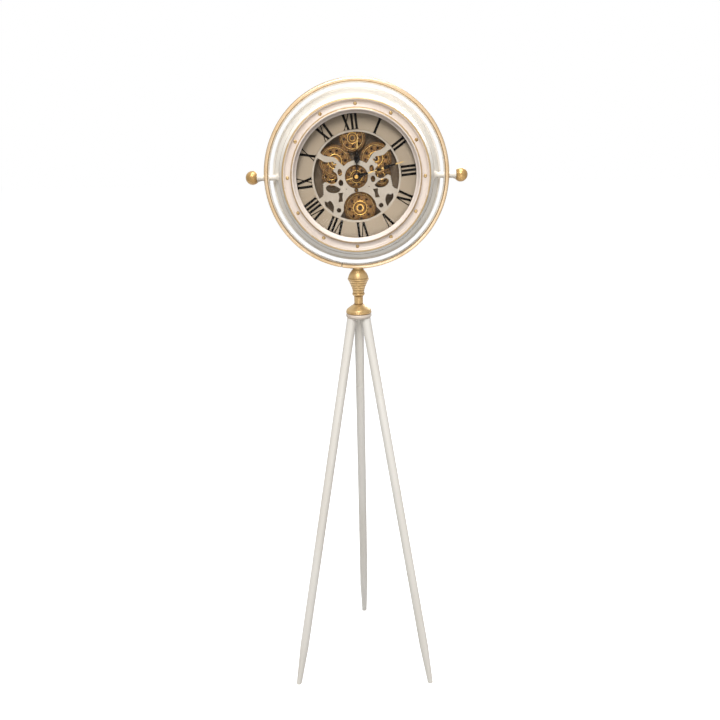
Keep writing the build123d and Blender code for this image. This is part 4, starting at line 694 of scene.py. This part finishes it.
slotMaterials = {
    "gold_leaf": hoopGold, "column_gold": columnGold, "cream_wood": legCream,
    "cream_metal": pivotCream, "bezel_paint": bezelCream, "brass": brassPlain,
    "antique_brass": gearBrass, "steel": steelPlain, "glass": glassClear,
    "dial_paint": dialEnamel, "skeleton_paint": skeletonEnamel, "numeral_black": numeralEnamel,
    "hand_black": numeralEnamel, "carrier_metal": carrierEnamel, "black_plastic": blackPlastic,
    "switch_plastic": palePlastic, "cell_wrap": cellWrap,
}
darkMetal = {"skeleton_eyelet": eyeletBrass, "gear_arbors": eyeletBrass}
for nodeName, nodeObject in nodes.items():
    nodeObject.data.materials.clear()
    finish = darkMetal.get(nodeName, slotMaterials[slotOf[nodeName]])
    nodeObject.data.materials.append(finish)

# Hoop: flat bar bent round, butted at the lower left over a dark dowel

hoop = {
    "radius": 203.95, "wall": 10.95, "depth": 22, "corner": 4.6, "seamAngle": 10.6,
    "seamGap": 0.6, "dowelInset": 1.1, "dowelTurn": 2.4, "dowelSteps": 4,
}


def hoopLength(inset, steps, angle, start):
    # A length of the bar, closed at its ends and turned to where it starts
    corner = hoop["corner"]
    half = hoop["depth"] / 2 - corner
    outer = hoop["radius"] - corner
    inner = hoop["radius"] - hoop["wall"] + corner
    profile = []
    for radius, forward, first in (
        (outer, half, 0), (inner, half, 90), (inner, -half, 180), (outer, -half, 270)
    ):
        profile += arcPoints((radius, forward), corner - inset, first, first + 90)
    bm = headLathe(profile, steps, angle)
    closeEnds(bm)
    turn = Matrix.Rotation(radians(start), 3, "Y")
    bmesh.ops.rotate(bm, verts=bm.verts, cent=head, matrix=turn)
    return bm


def makeHoop():
    seam = 90 + hoop["seamAngle"]
    gap = hoop["seamGap"]
    dowelTurn = hoop["dowelTurn"]
    bar = hoopLength(0, turnSteps["case"], 360 - gap, seam - gap / 2)
    dowel = hoopLength(hoop["dowelInset"], hoop["dowelSteps"], dowelTurn, seam + dowelTurn / 2)
    addTo(bar, dowel, slot=1)
    finishPiece(bar, "hoopBar", (hoopGold, eyeletBrass), ("hoop",))


makeHoop()
report("hoop")

# Turned column: bulb, neck, dome and the hub plate; points are radius and height above the foot

column = {
    "bore": 4, "bulbFoot": 1016, "grooves": 5, "grooveDepth": 0.7, "smoothEnds": 0.3,
    "bulbLower": [(12.9, 0), (15.2, 10), (19.4, 20.5), (23.5, 29.4)],
    "band": (23.4, 31.9), "bandCorner": 1.5,
    "bulbUpper": [(23.6, 34.2), (22.4, 38.5), (19.6, 44.8), (15.6, 50.5), (12.4, 54.3)],
    "bulbTop": [(12.2, 58)],
    "neckFoot": 989, "neckStem": [(10.6, 0), (10.3, 2), (10.3, 16), (10.9, 18.2)],
    "neckCollar": [(11.7, 19.2), (13.2, 20.6), (14.7, 23.4), (13.9, 26)], "neckTop": [(13.4, 27)],
    "domeFoot": 967, "domeBase": [(27.8, 0)], "domeLip": (27.4, 2.9), "domeLipRadius": 2.5,
    "domeCurve": [(29.2, 5.4), (28.6, 8), (26.3, 10.8), (19.1, 16.3), (13.8, 20), (11.2, 22)],
}


def turnColumn(name, node, foot, outline):
    # One hollow length of the column
    bore = column["bore"]
    outline = [(bore, 0)] + outline + [(bore, outline[-1][1])]
    profile = [(radius, foot + height) for radius, height in outline]
    bm = lathe(profile, standPoint, (0, 0, 1), (0, standY, 0), turnSteps["column"])
    finishPiece(bm, name, columnGold, (node,))


def groovedLine():
    # The lower bulb, with fine turned grooves below its band
    lower = curvePoints(column["bulbLower"], 14)
    ends = column["smoothEnds"]
    line = []
    for radius, height in lower:
        share = height / lower[-1][1] * column["grooves"]
        grooved = ends < share < column["grooves"] - ends
        dip = max(0.0, cos(2 * pi * share)) ** 6 if grooved else 0.0
        line.append((radius - column["grooveDepth"] * dip, height))
    return line


def makeColumn():
    band = arcPoints(column["band"], column["bandCorner"], -60, 80)
    cap = curvePoints(column["bulbUpper"], 8)
    bulb = groovedLine() + band + cap + column["bulbTop"]
    turnColumn("columnBulb", "column_bulb", column["bulbFoot"], bulb)
    neck = column["neckStem"] + curvePoints(column["neckCollar"], 6) + column["neckTop"]
    turnColumn("columnNeck", "column_neck", column["neckFoot"], neck)
    lip = arcPoints(column["domeLip"], column["domeLipRadius"], -70, 60)
    dome = column["domeBase"] + lip + curvePoints(column["domeCurve"], 6)
    turnColumn("columnDome", "column_dome", column["domeFoot"], dome)
    softenedCopy("hub_collar", hubCream, 0.5, "hubPlate")


makeColumn()
report("column")

# Legs: an upper and a lower section with a fine joint, tapering to the floor

leg = {
    "bearings": {"rear": 90, "left": 210, "right": 330},
    "radius": 11.1, "tipRadius": 6.8, "footCircle": 198, "topCircle": 18.5, "taper": 106,
    "taperSteps": 6, "upper": 190, "top": 957, "chamfer": 0.9, "jointLoop": 4, "topLoop": 30,
    "spare": 12,
}


def makeLeg(side, bearing):
    outward = Vector((cos(bearing), sin(bearing), 0))
    foot = Vector((0, standY, 0)) + outward * leg["footCircle"] * mm
    top = Vector((0, standY, leg["top"] * mm)) + outward * leg["topCircle"] * mm
    along = (top - foot).normalized()
    length = (top - foot).length / mm
    across = Vector((-sin(bearing), cos(bearing), 0))

    def place(radius, height):
        return foot + across * radius * mm + along * height * mm

    joint = length - leg["upper"]
    chamfer, radius, tip = leg["chamfer"], leg["radius"], leg["tipRadius"]
    steps, loop, end = leg["taperSteps"], leg["jointLoop"], length + leg["spare"]
    lower = [(0, -tip), (tip, -tip), (tip, 0)]
    lower += [
        (tip + (radius - tip) * step / steps, leg["taper"] * step / steps)
        for step in range(1, steps + 1)
    ]
    lower += [(radius, joint - loop), (radius, joint - chamfer)]
    lower += [(radius - chamfer, joint), (0, joint)]
    upper = [(0, joint), (radius - chamfer, joint), (radius, joint + chamfer)]
    upper += [(radius, joint + loop), (radius, length - leg["topLoop"]), (radius, end), (0, end)]
    # The foot is cut flat by the floor, and the top by the hub's underside
    for name, profile, floorCut, height in (
        ("lowerLeg", lower, True, 0.0), ("upperLeg", upper, False, leg["top"] * mm)
    ):
        bm = lathe(profile, place, along, foot, turnSteps["leg"], closed=False)
        bmesh.ops.bisect_plane(
            bm, geom=bm.verts[:] + bm.edges[:] + bm.faces[:], plane_co=(0, 0, height),
            plane_no=(0, 0, 1), clear_inner=floorCut, clear_outer=not floorCut,
        )
        closeEnds(bm)
        node = ("lower_leg_" if floorCut else "upper_leg_") + side
        finishPiece(bm, name + side.capitalize(), legCream, (node,))


for side, bearing in leg["bearings"].items():
    makeLeg(side, radians(bearing))
report("legs")

# Case: spun shell with a rolled rim, a cove and a shoulder; points are radius and forward

case = {
    "wall": 1.2, "front": (160.5, 44), "frontCorner": 0.8, "frontFlange": 20,
    "stepTop": (169.2, 13.6), "step": ((169.6, 12.4), (170.9, 11.4)), "shoulder": (171.5, 10),
    "coveShare": (0.3, 0.68), "rim": (187.3, -20), "rimBead": 2.2,
    "back": (158, -38), "backCorner": 1.2, "backFlange": 10,
    "rimWall": 0.4, "shoulderWall": (2.4, 2),
}


def makeShell():
    wall, bead = case["wall"], case["rimBead"]
    front, frontForward = case["front"]
    back, backForward = case["back"]
    shoulder, shoulderForward = case["shoulder"]
    foot, rimForward = case["rim"][0] - bead, case["rim"][1]
    frontLip, backLip = front - case["frontFlange"], back - case["backFlange"]
    corner = case["frontCorner"]
    outer = [(frontLip, frontForward)]
    outer += arcPoints((front - corner, frontForward - corner), corner, 90, 10, 5)
    outer += [case["stepTop"]] + threePointArc(*case["step"], case["shoulder"], 8)
    coveEnd = (foot, rimForward + bead)
    across, down = case["coveShare"]
    coveMiddle = (
        shoulder + across * (foot - shoulder),
        shoulderForward - down * (shoulderForward - coveEnd[1]),
    )
    outer += threePointArc(case["shoulder"], coveMiddle, coveEnd, 24)[1:]
    outer += arcPoints((foot, rimForward), bead, 90, -90, 12)[1:]
    corner = case["backCorner"]
    outer += arcPoints((back - corner, backForward + corner), corner, -20, -90, 5)
    outer += [(backLip, backForward)]
    wallIn, wallBack = case["shoulderWall"]
    inner = [
        (backLip, backForward + wall), (back - wall, backForward + wall),
        (foot - case["rimWall"], rimForward), (shoulder - wallIn, shoulderForward - wallBack),
        (front - wall, frontForward - wall), (frontLip, frontForward - wall),
    ]
    bm = headLathe(outer + inner, turnSteps["case"])
    finishPiece(bm, "caseShell", shellCream, ("drum_shell",))


makeShell()
report("case")

# Bezel: two rounded beads with a channel between them, and the lip over the glass

bezel = {
    "foot": ((129.4, 44.02), (160.5, 44.02)), "outerBead": (157, 49), "outerBeadRadius": 3.4,
    "channel": ((153.6, 49), (148, 46.5), (139.6, 51.7)),
    "innerBead": (137, 53), "innerBeadRadius": 2.6,
    "lipCurve": [(134.2, 51.4), (132.6, 48.6), (130.8, 46.6), (129.7, 45.8)], "lip": (129.4, 45.6),
    "rivets": 12, "rivetCircle": 148, "rivetRadius": 4, "rivetHeight": 0.6, "rivetForward": 46.4,
}


def makeBezel():
    profile = list(bezel["foot"])
    profile += arcPoints(bezel["outerBead"], bezel["outerBeadRadius"], 0, 180, 18)
    profile += threePointArc(*bezel["channel"], 24)[1:]
    profile += arcPoints(bezel["innerBead"], bezel["innerBeadRadius"], 0, 180, 16)
    profile += curvePoints(bezel["lipCurve"], 6) + [bezel["lip"]]
    finishPiece(headLathe(profile, turnSteps["case"]), "bezelRing", bezelCream, ("bezel",))


def makeRivets():
    # One dome-headed rivet at the top, copied round the channel
    bm = bmesh.new()
    bmesh.ops.create_uvsphere(bm, u_segments=24, v_segments=12, radius=bezel["rivetRadius"] * mm)
    bmesh.ops.scale(bm, vec=(1, bezel["rivetHeight"], 1), verts=bm.verts)
    top = head + Vector((0, -bezel["rivetForward"] * mm, bezel["rivetCircle"] * mm))
    bmesh.ops.translate(bm, vec=top, verts=bm.verts)
    copyRound(bm, head, bezel["rivets"])
    finishPiece(bm, "bezelRivets", rivetBrass, ("bezel_rivets",))


makeBezel()
makeRivets()
report("bezel")

# Pivots and knobs, turned about the tilt axis; points are radius and distance from the middle

pivot = {
    "thread": 4, "bore": 4.1, "inner": 158, "seat": (10.5, 169.4),
    "flare": [(10.5, 173), (8.2, 175.4), (6.7, 179), (6.35, 183)], "shoulder": (6.35, 204.3),
    "end": 233, "neck": [(6.9, 204.7), (6.9, 209), (7.7, 214.4)], "neckFlare": 10.2,
    "neckInset": 3, "knobX": 230, "knob": 15,
}


def makePivots():
    thread, bore, knob, knobX = pivot["thread"], pivot["bore"], pivot["knob"], pivot["knobX"]
    inner, shoulder, end = pivot["inner"], pivot["shoulder"][1], pivot["end"]
    rod = [(0, inner), (thread, inner), (thread, pivot["seat"][1]), pivot["seat"]]
    rod += curvePoints(pivot["flare"], 8) + [pivot["shoulder"], (thread, shoulder)]
    rod += [(thread, end), (0, end)]
    # The neck's mouth meets the ball
    mouth = knobX - sqrt(knob ** 2 - pivot["neckFlare"] ** 2)
    neck = [(bore, shoulder), (pivot["neck"][0][0], shoulder)]
    neck += curvePoints(pivot["neck"] + [(pivot["neckFlare"], mouth)], 8)
    neck += [(bore, mouth + pivot["neckInset"])]
    ball = arcPoints((0, knobX), knob, -90, 90, 32)
    rods = bmesh.new()
    for sign, side in ((-1, "Left"), (1, "Right")):
        def turned(profile, closed=False, sign=sign):
            def place(radius, along):
                return Vector((sign * along * mm, head.y, head.z + radius * mm))
            return lathe(profile, place, (1, 0, 0), head, turnSteps["small"], closed=closed)

        addTo(rods, turned(rod))
        neckNode, ballNode = "knob_neck_" + side.lower(), "ball_knob_" + side.lower()
        finishPiece(turned(neck, closed=True), "knobNeck" + side, pivotCream, (neckNode,))
        finishPiece(turned(ball), "ballKnob" + side, knobGold, (ballNode,))
    finishPiece(rods, "pivotRods", pivotCream, ("pivot_rods",))


makePivots()
report("pivots")

# Dial and skeleton plate: the CAD shapes with their edges broken

softenedCopy("dial_plate", dialEnamel, 0.3)
softenedCopy("skeleton_plate", skeletonEnamel, 0.3)

# Wheels: the cut CAD wheel with turned rings, a beaded hub ring and a screw-headed boss.
# A ring is radius, width, height; beads are circle, count, radius; stars are circle, count

upperWheel = {
    "front": 23.5, "rings": ((14.8, 3, 1.6), (28.6, 1.2, 0.7)), "beads": (17.2, 16, 1.1),
    "boss": 8.2, "stars": (22.45, 10),
}
sideWheel = {
    "front": 17.5, "rings": ((8.1, 2.4, 1.4), (16.4, 1.1, 0.7)), "beads": (10.2, 12, 0.9),
    "boss": 0, "stars": (12.8, 6),
}
wheels = {
    "centre_gear": {
        "front": 23.5, "rings": ((12.6, 2.6, 1.5),), "beads": (15.4, 12, 1.1), "boss": 0,
        "stars": (17.55, 9),
    },
    "upper_left_gear": upperWheel,
    "upper_right_gear": upperWheel,
    "top_gear": {
        "front": 23.5, "rings": ((11, 2.6, 1.5), (22.4, 1.2, 0.7)), "beads": (13.2, 12, 1.1),
        "boss": 6.6, "stars": (17.4, 8),
    },
    "bottom_gear": {
        "front": 17.5, "rings": ((14.7, 3, 1.6), (29.8, 1.2, 0.7)), "beads": (17.1, 16, 1.3),
        "boss": 8.6, "stars": (23, 8),
    },
    "left_gear": sideWheel,
    "right_gear": sideWheel,
}
wheelTrim = {
    "sunk": 0.1, "ringSteps": 8, "bossBore": 5.2, "bossEdge": 0.6, "bossWall": 0.9,
    "bossSlot": 1, "bossTop": 1.4, "edge": 0.12,
}


def makeWheel(node, settings):
    middle = wheelPlace(node)[0]
    front = settings["front"]
    foot = front - wheelTrim["sunk"]

    def place(radius, forward):
        return middle + Vector((radius * mm, -forward * mm, 0))

    def addTurned(section, steps):
        addTo(bm, lathe(section, place, (0, -1, 0), middle, steps), slot=1)

    bm = mergedCopy(node)
    steps = wheelTrim["ringSteps"]
    for radius, width, height in settings["rings"]:
        half = width / 2
        section = [(radius + half, foot)]
        for step in range(1, steps):
            angle = pi * step / steps
            section.append((radius + half * cos(angle), front + height * sin(angle)))
        addTurned(section + [(radius - half, foot)], turnSteps["ring"])
    circle, count, size = settings["beads"]
    beads = bmesh.new()
    bmesh.ops.create_icosphere(beads, subdivisions=2, radius=size * mm)
    bmesh.ops.translate(beads, vec=place(circle, front), verts=beads.verts)
    copyRound(beads, middle, count)
    addTo(bm, beads, slot=1)
    boss = settings["boss"]
    if boss:
        bore, edge = wheelTrim["bossBore"], wheelTrim["bossEdge"]
        wall, slot, top = (front + wheelTrim[name] for name in ("bossWall", "bossSlot", "bossTop"))
        section = [(bore, foot), (boss, foot), (boss, wall)]
        section += [(boss - edge, top), (bore + edge, top), (bore, slot)]
        addTurned(section, turnSteps["small"])
    name = pieceName(node)
    face = wheelBrass(name + "Face", middle, settings["rings"], settings["stars"])
    finishPiece(
        bm, name, (face, gearBright), (node,), wheelTrim["edge"], edgeFinish["wheelSharp"], True
    )


for node, settings in wheels.items():
    makeWheel(node, settings)
report("wheels")

# Hands: outlines drawn along the hand from its hub, in millimetres, as half widths

hands = {
    "thickness": 0.8, "boss": 7.5, "bossWall": 0.7, "bossHeight": 0.95, "bossEdge": 0.3,
    "bore": 2.1, "edge": 0.12,
    "hourBack": 33, "hourTilt": -2.3,
    "hour": [(7, 1.2), (22, 0.9), (27.2, 0.8), (30, 3.4), (34, 5.8), (37, 6.5), (41, 5.8),
             (46, 3.6), (51, 1.6), (56, 1.0), (70, 0.9), (82, 0.8), (84.9, 0.3)],
    "minuteBack": 35.5, "minuteTilt": -73.5,
    "minute": [(5.6, 6.4), (12, 4.4), (20, 2.2), (27.6, 1.1), (38, 0.9), (43, 0.9), (47, 1.9),
               (51, 2.3), (55, 1.9), (58.3, 1.1), (62, 2.6), (66, 4.1), (70, 4.0), (76, 2.6),
               (82, 1.4), (88, 1.0), (97, 0.9), (104, 0.8), (105.9, 0.3)],
    "tail": [(-7, 1.1), (-16, 1.0), (-23, 0.9)],
}


def makeHand(which, material, lines):
    back = hands[which + "Back"]
    turn = Matrix.Rotation(radians(-hands[which + "Tilt"]), 3, "Y")
    bm = bmesh.new()
    for line in lines:
        right = [(half, along) for along, half in line]
        left = [(-half, along) for along, half in reversed(line)]
        verts = []
        for across, along in right + left:
            flat = turn @ Vector((across * mm, 0, along * mm))
            verts.append(bm.verts.new(head + flat + Vector((0, -back * mm, 0))))
        bm.faces.new(verts)
    thicken(bm, -hands["thickness"])
    bore, boss, top = hands["bore"], hands["boss"], back + hands["bossHeight"]
    ring = [(bore, back), (boss, back), (boss, back + hands["bossWall"])]
    ring += [(boss - hands["bossEdge"], top), (bore, top)]
    addTo(bm, headLathe(ring, turnSteps["small"]))
    bmesh.ops.recalc_face_normals(bm, faces=bm.faces)
    finishPiece(
        bm, which + "Hand", material, (which + "_hand",), hands["edge"], edgeFinish["wheelSharp"]
    )


makeHand("hour", hourPaint, (hands["hour"],))
makeHand("minute", minutePaint, (hands["minute"], hands["tail"]))
softenedCopy("hand_cap", gearBright, 0.1)
report("dial")

# Back of the case: the cover has two rolled beads and a raised frame round its window

cover = {
    "back": -39.2, "sunk": 0.1, "beadRings": (140, 62), "bead": 1.3,
    "window": 33.6, "windowCorner": 5.4, "frame": 4, "frameHeight": 1.2,
}


def squareLoop(bm, half, corner, forward):
    # A square with round corners on the cover, as a closed loop of edges
    points = []
    for x, z, first in ((1, 1, 0), (-1, 1, 90), (-1, -1, 180), (1, -1, 270)):
        middle = (x * (half - corner), z * (half - corner))
        points += arcPoints(middle, corner, first, first + 90, 6)
    verts = [bm.verts.new(head + Vector((x * mm, -forward * mm, z * mm))) for x, z in points]
    return [bm.edges.new(pair) for pair in zip(verts, verts[1:] + verts[:1])]


def makeCover():
    bm = mergedCopy("rear_cover")
    foot = cover["back"] + cover["sunk"]
    for radius in cover["beadRings"]:
        section = arcPoints((radius, foot), cover["bead"], 180, 360, 10)
        addTo(bm, headLathe(section, turnSteps["cover"]))
    frame = bmesh.new()
    window, corner, width = cover["window"], cover["windowCorner"], cover["frame"]
    inner = squareLoop(frame, window, corner, foot)
    outer = squareLoop(frame, window + width, corner + width, foot)
    bmesh.ops.bridge_loops(frame, edges=inner + outer)
    thicken(frame, cover["frameHeight"])
    bmesh.ops.recalc_face_normals(frame, faces=frame.faces)
    addTo(bm, frame)
    finishPiece(bm, "rearCover", blackPlastic, ("rear_cover",), 0.3, flatFronts=True)


makeCover()
for node, finish, edge in (
    ("battery_lid", blackPlastic, 0.4), ("battery_box", blackPlastic, 0.4),
    ("movement_case", blackPlastic, 0.6), ("setting_wheel", blackPlastic, 0.15),
    ("switch_knob", palePlastic, 0.2),
):
    softenedCopy(node, finish, edge)
report("back")

# Floor and backdrop: white to the camera and in reflections, pale grey to scattered light

stage = {"size": 30, "white": 0.9, "floorTone": 0.12, "glow": 0.7, "fill": 0.34}


def seenPlainly(tree):
    # 1 for what the camera sees, straight, in a reflection or through glass
    path = tree.node("ShaderNodeLightPath").outputs
    straight = tree.maths("ADD", path["Is Camera Ray"], path["Is Glossy Ray"])
    return tree.maths("ADD", straight, path["Is Transmission Ray"], clamp=True)


def makeFloor():
    mesh = bpy.data.meshes.new("floor")
    bm = bmesh.new()
    bmesh.ops.create_grid(bm, x_segments=1, y_segments=1, size=stage["size"])
    bm.to_mesh(mesh)
    bm.free()
    floor = bpy.data.objects.new("floor", mesh)
    bpy.context.scene.collection.objects.link(floor)
    pale, dark = stage["white"], stage["floorTone"]
    material, tree, shader = newMaterial(
        "floorPaper", (pale, pale, pale, 1), roughness=0.9,
        sockets={"Specular IOR Level": 0.0, "Emission Color": white},
    )
    seen = seenPlainly(tree)
    tone = tree.maths("MULTIPLY_ADD", seen, pale - dark, dark)
    colour = tree.node("ShaderNodeCombineColor", {0: tone, 1: tone, 2: tone}).outputs[0]
    tree.join(colour, shader.inputs["Base Color"])
    tree.join(tree.maths("MULTIPLY", seen, stage["glow"]), shader.inputs["Emission Strength"])
    mesh.materials.append(material)


def makeWorld():
    world = bpy.data.worlds.new("studio")
    world.use_nodes = True
    tree = Tree(world.node_tree)
    background = world.node_tree.nodes["Background"]
    background.inputs[0].default_value = white
    fill = stage["fill"]
    strength = tree.maths("MULTIPLY_ADD", seenPlainly(tree), 1.0 - fill, fill)
    tree.join(strength, background.inputs[1])
    bpy.context.scene.world = world


lamps = {
    "key": {"place": (-0.3, -2.3, 3.3), "aim": 1.15, "size": 1.3, "energy": 64,
            "colour": (1.0, 0.99, 0.965)},
    "top": {"place": (0.2, -0.3, 3.6), "aim": 1.15, "size": 1.2, "energy": 56,
            "colour": (1.0, 0.99, 0.97)},
    "low": {"place": (0.3, -2.7, 0.35), "aim": 0.3, "size": 1.2, "energy": 15,
            "colour": (1.0, 0.99, 0.98)},
    "back": {"place": (0.7, 2.6, 2.3), "aim": 1.15, "size": 1.4, "energy": 42,
             "colour": (1.0, 1.0, 1.0)},
}


def makeLamp(name, settings):
    # A square lamp that is aimed at a height of the stand
    data = bpy.data.lights.new(name, "AREA")
    data.size = settings["size"]
    data.energy = settings["energy"]
    data.color = settings["colour"]
    lamp = bpy.data.objects.new(name, data)
    lamp.location = settings["place"]
    aim = Vector((0, standY, settings["aim"])) - lamp.location
    lamp.rotation_euler = aim.to_track_quat("-Z", "Y").to_euler()
    bpy.context.scene.collection.objects.link(lamp)


makeFloor()
makeWorld()
for name, settings in lamps.items():
    makeLamp(name, settings)

# Camera, as the photograph was taken: a little above the dial's middle, looking down

view = {
    "place": (0.0147, -1.600, 1.3230), "yaw": -0.51, "pitch": 16.91, "roll": -0.96,
    "focalPixels": 677.6, "framePixels": 720, "sensor": 36,
}


def makeCamera():
    data = bpy.data.cameras.new("photograph")
    data.sensor_width = view["sensor"]
    data.lens = view["focalPixels"] / view["framePixels"] * view["sensor"]
    camera = bpy.data.objects.new("photograph", data)
    turn = (
        Matrix.Rotation(radians(-view["yaw"]), 3, "Z")
        @ Matrix.Rotation(radians(90 - view["pitch"]), 3, "X")
        @ Matrix.Rotation(radians(view["roll"]), 3, "Z")
    )
    camera.location = view["place"]
    camera.rotation_euler = turn.to_euler()
    bpy.context.scene.collection.objects.link(camera)
    bpy.context.scene.camera = camera


makeCamera()
bpy.context.scene.view_settings.view_transform = "Standard"
report("stage and camera")
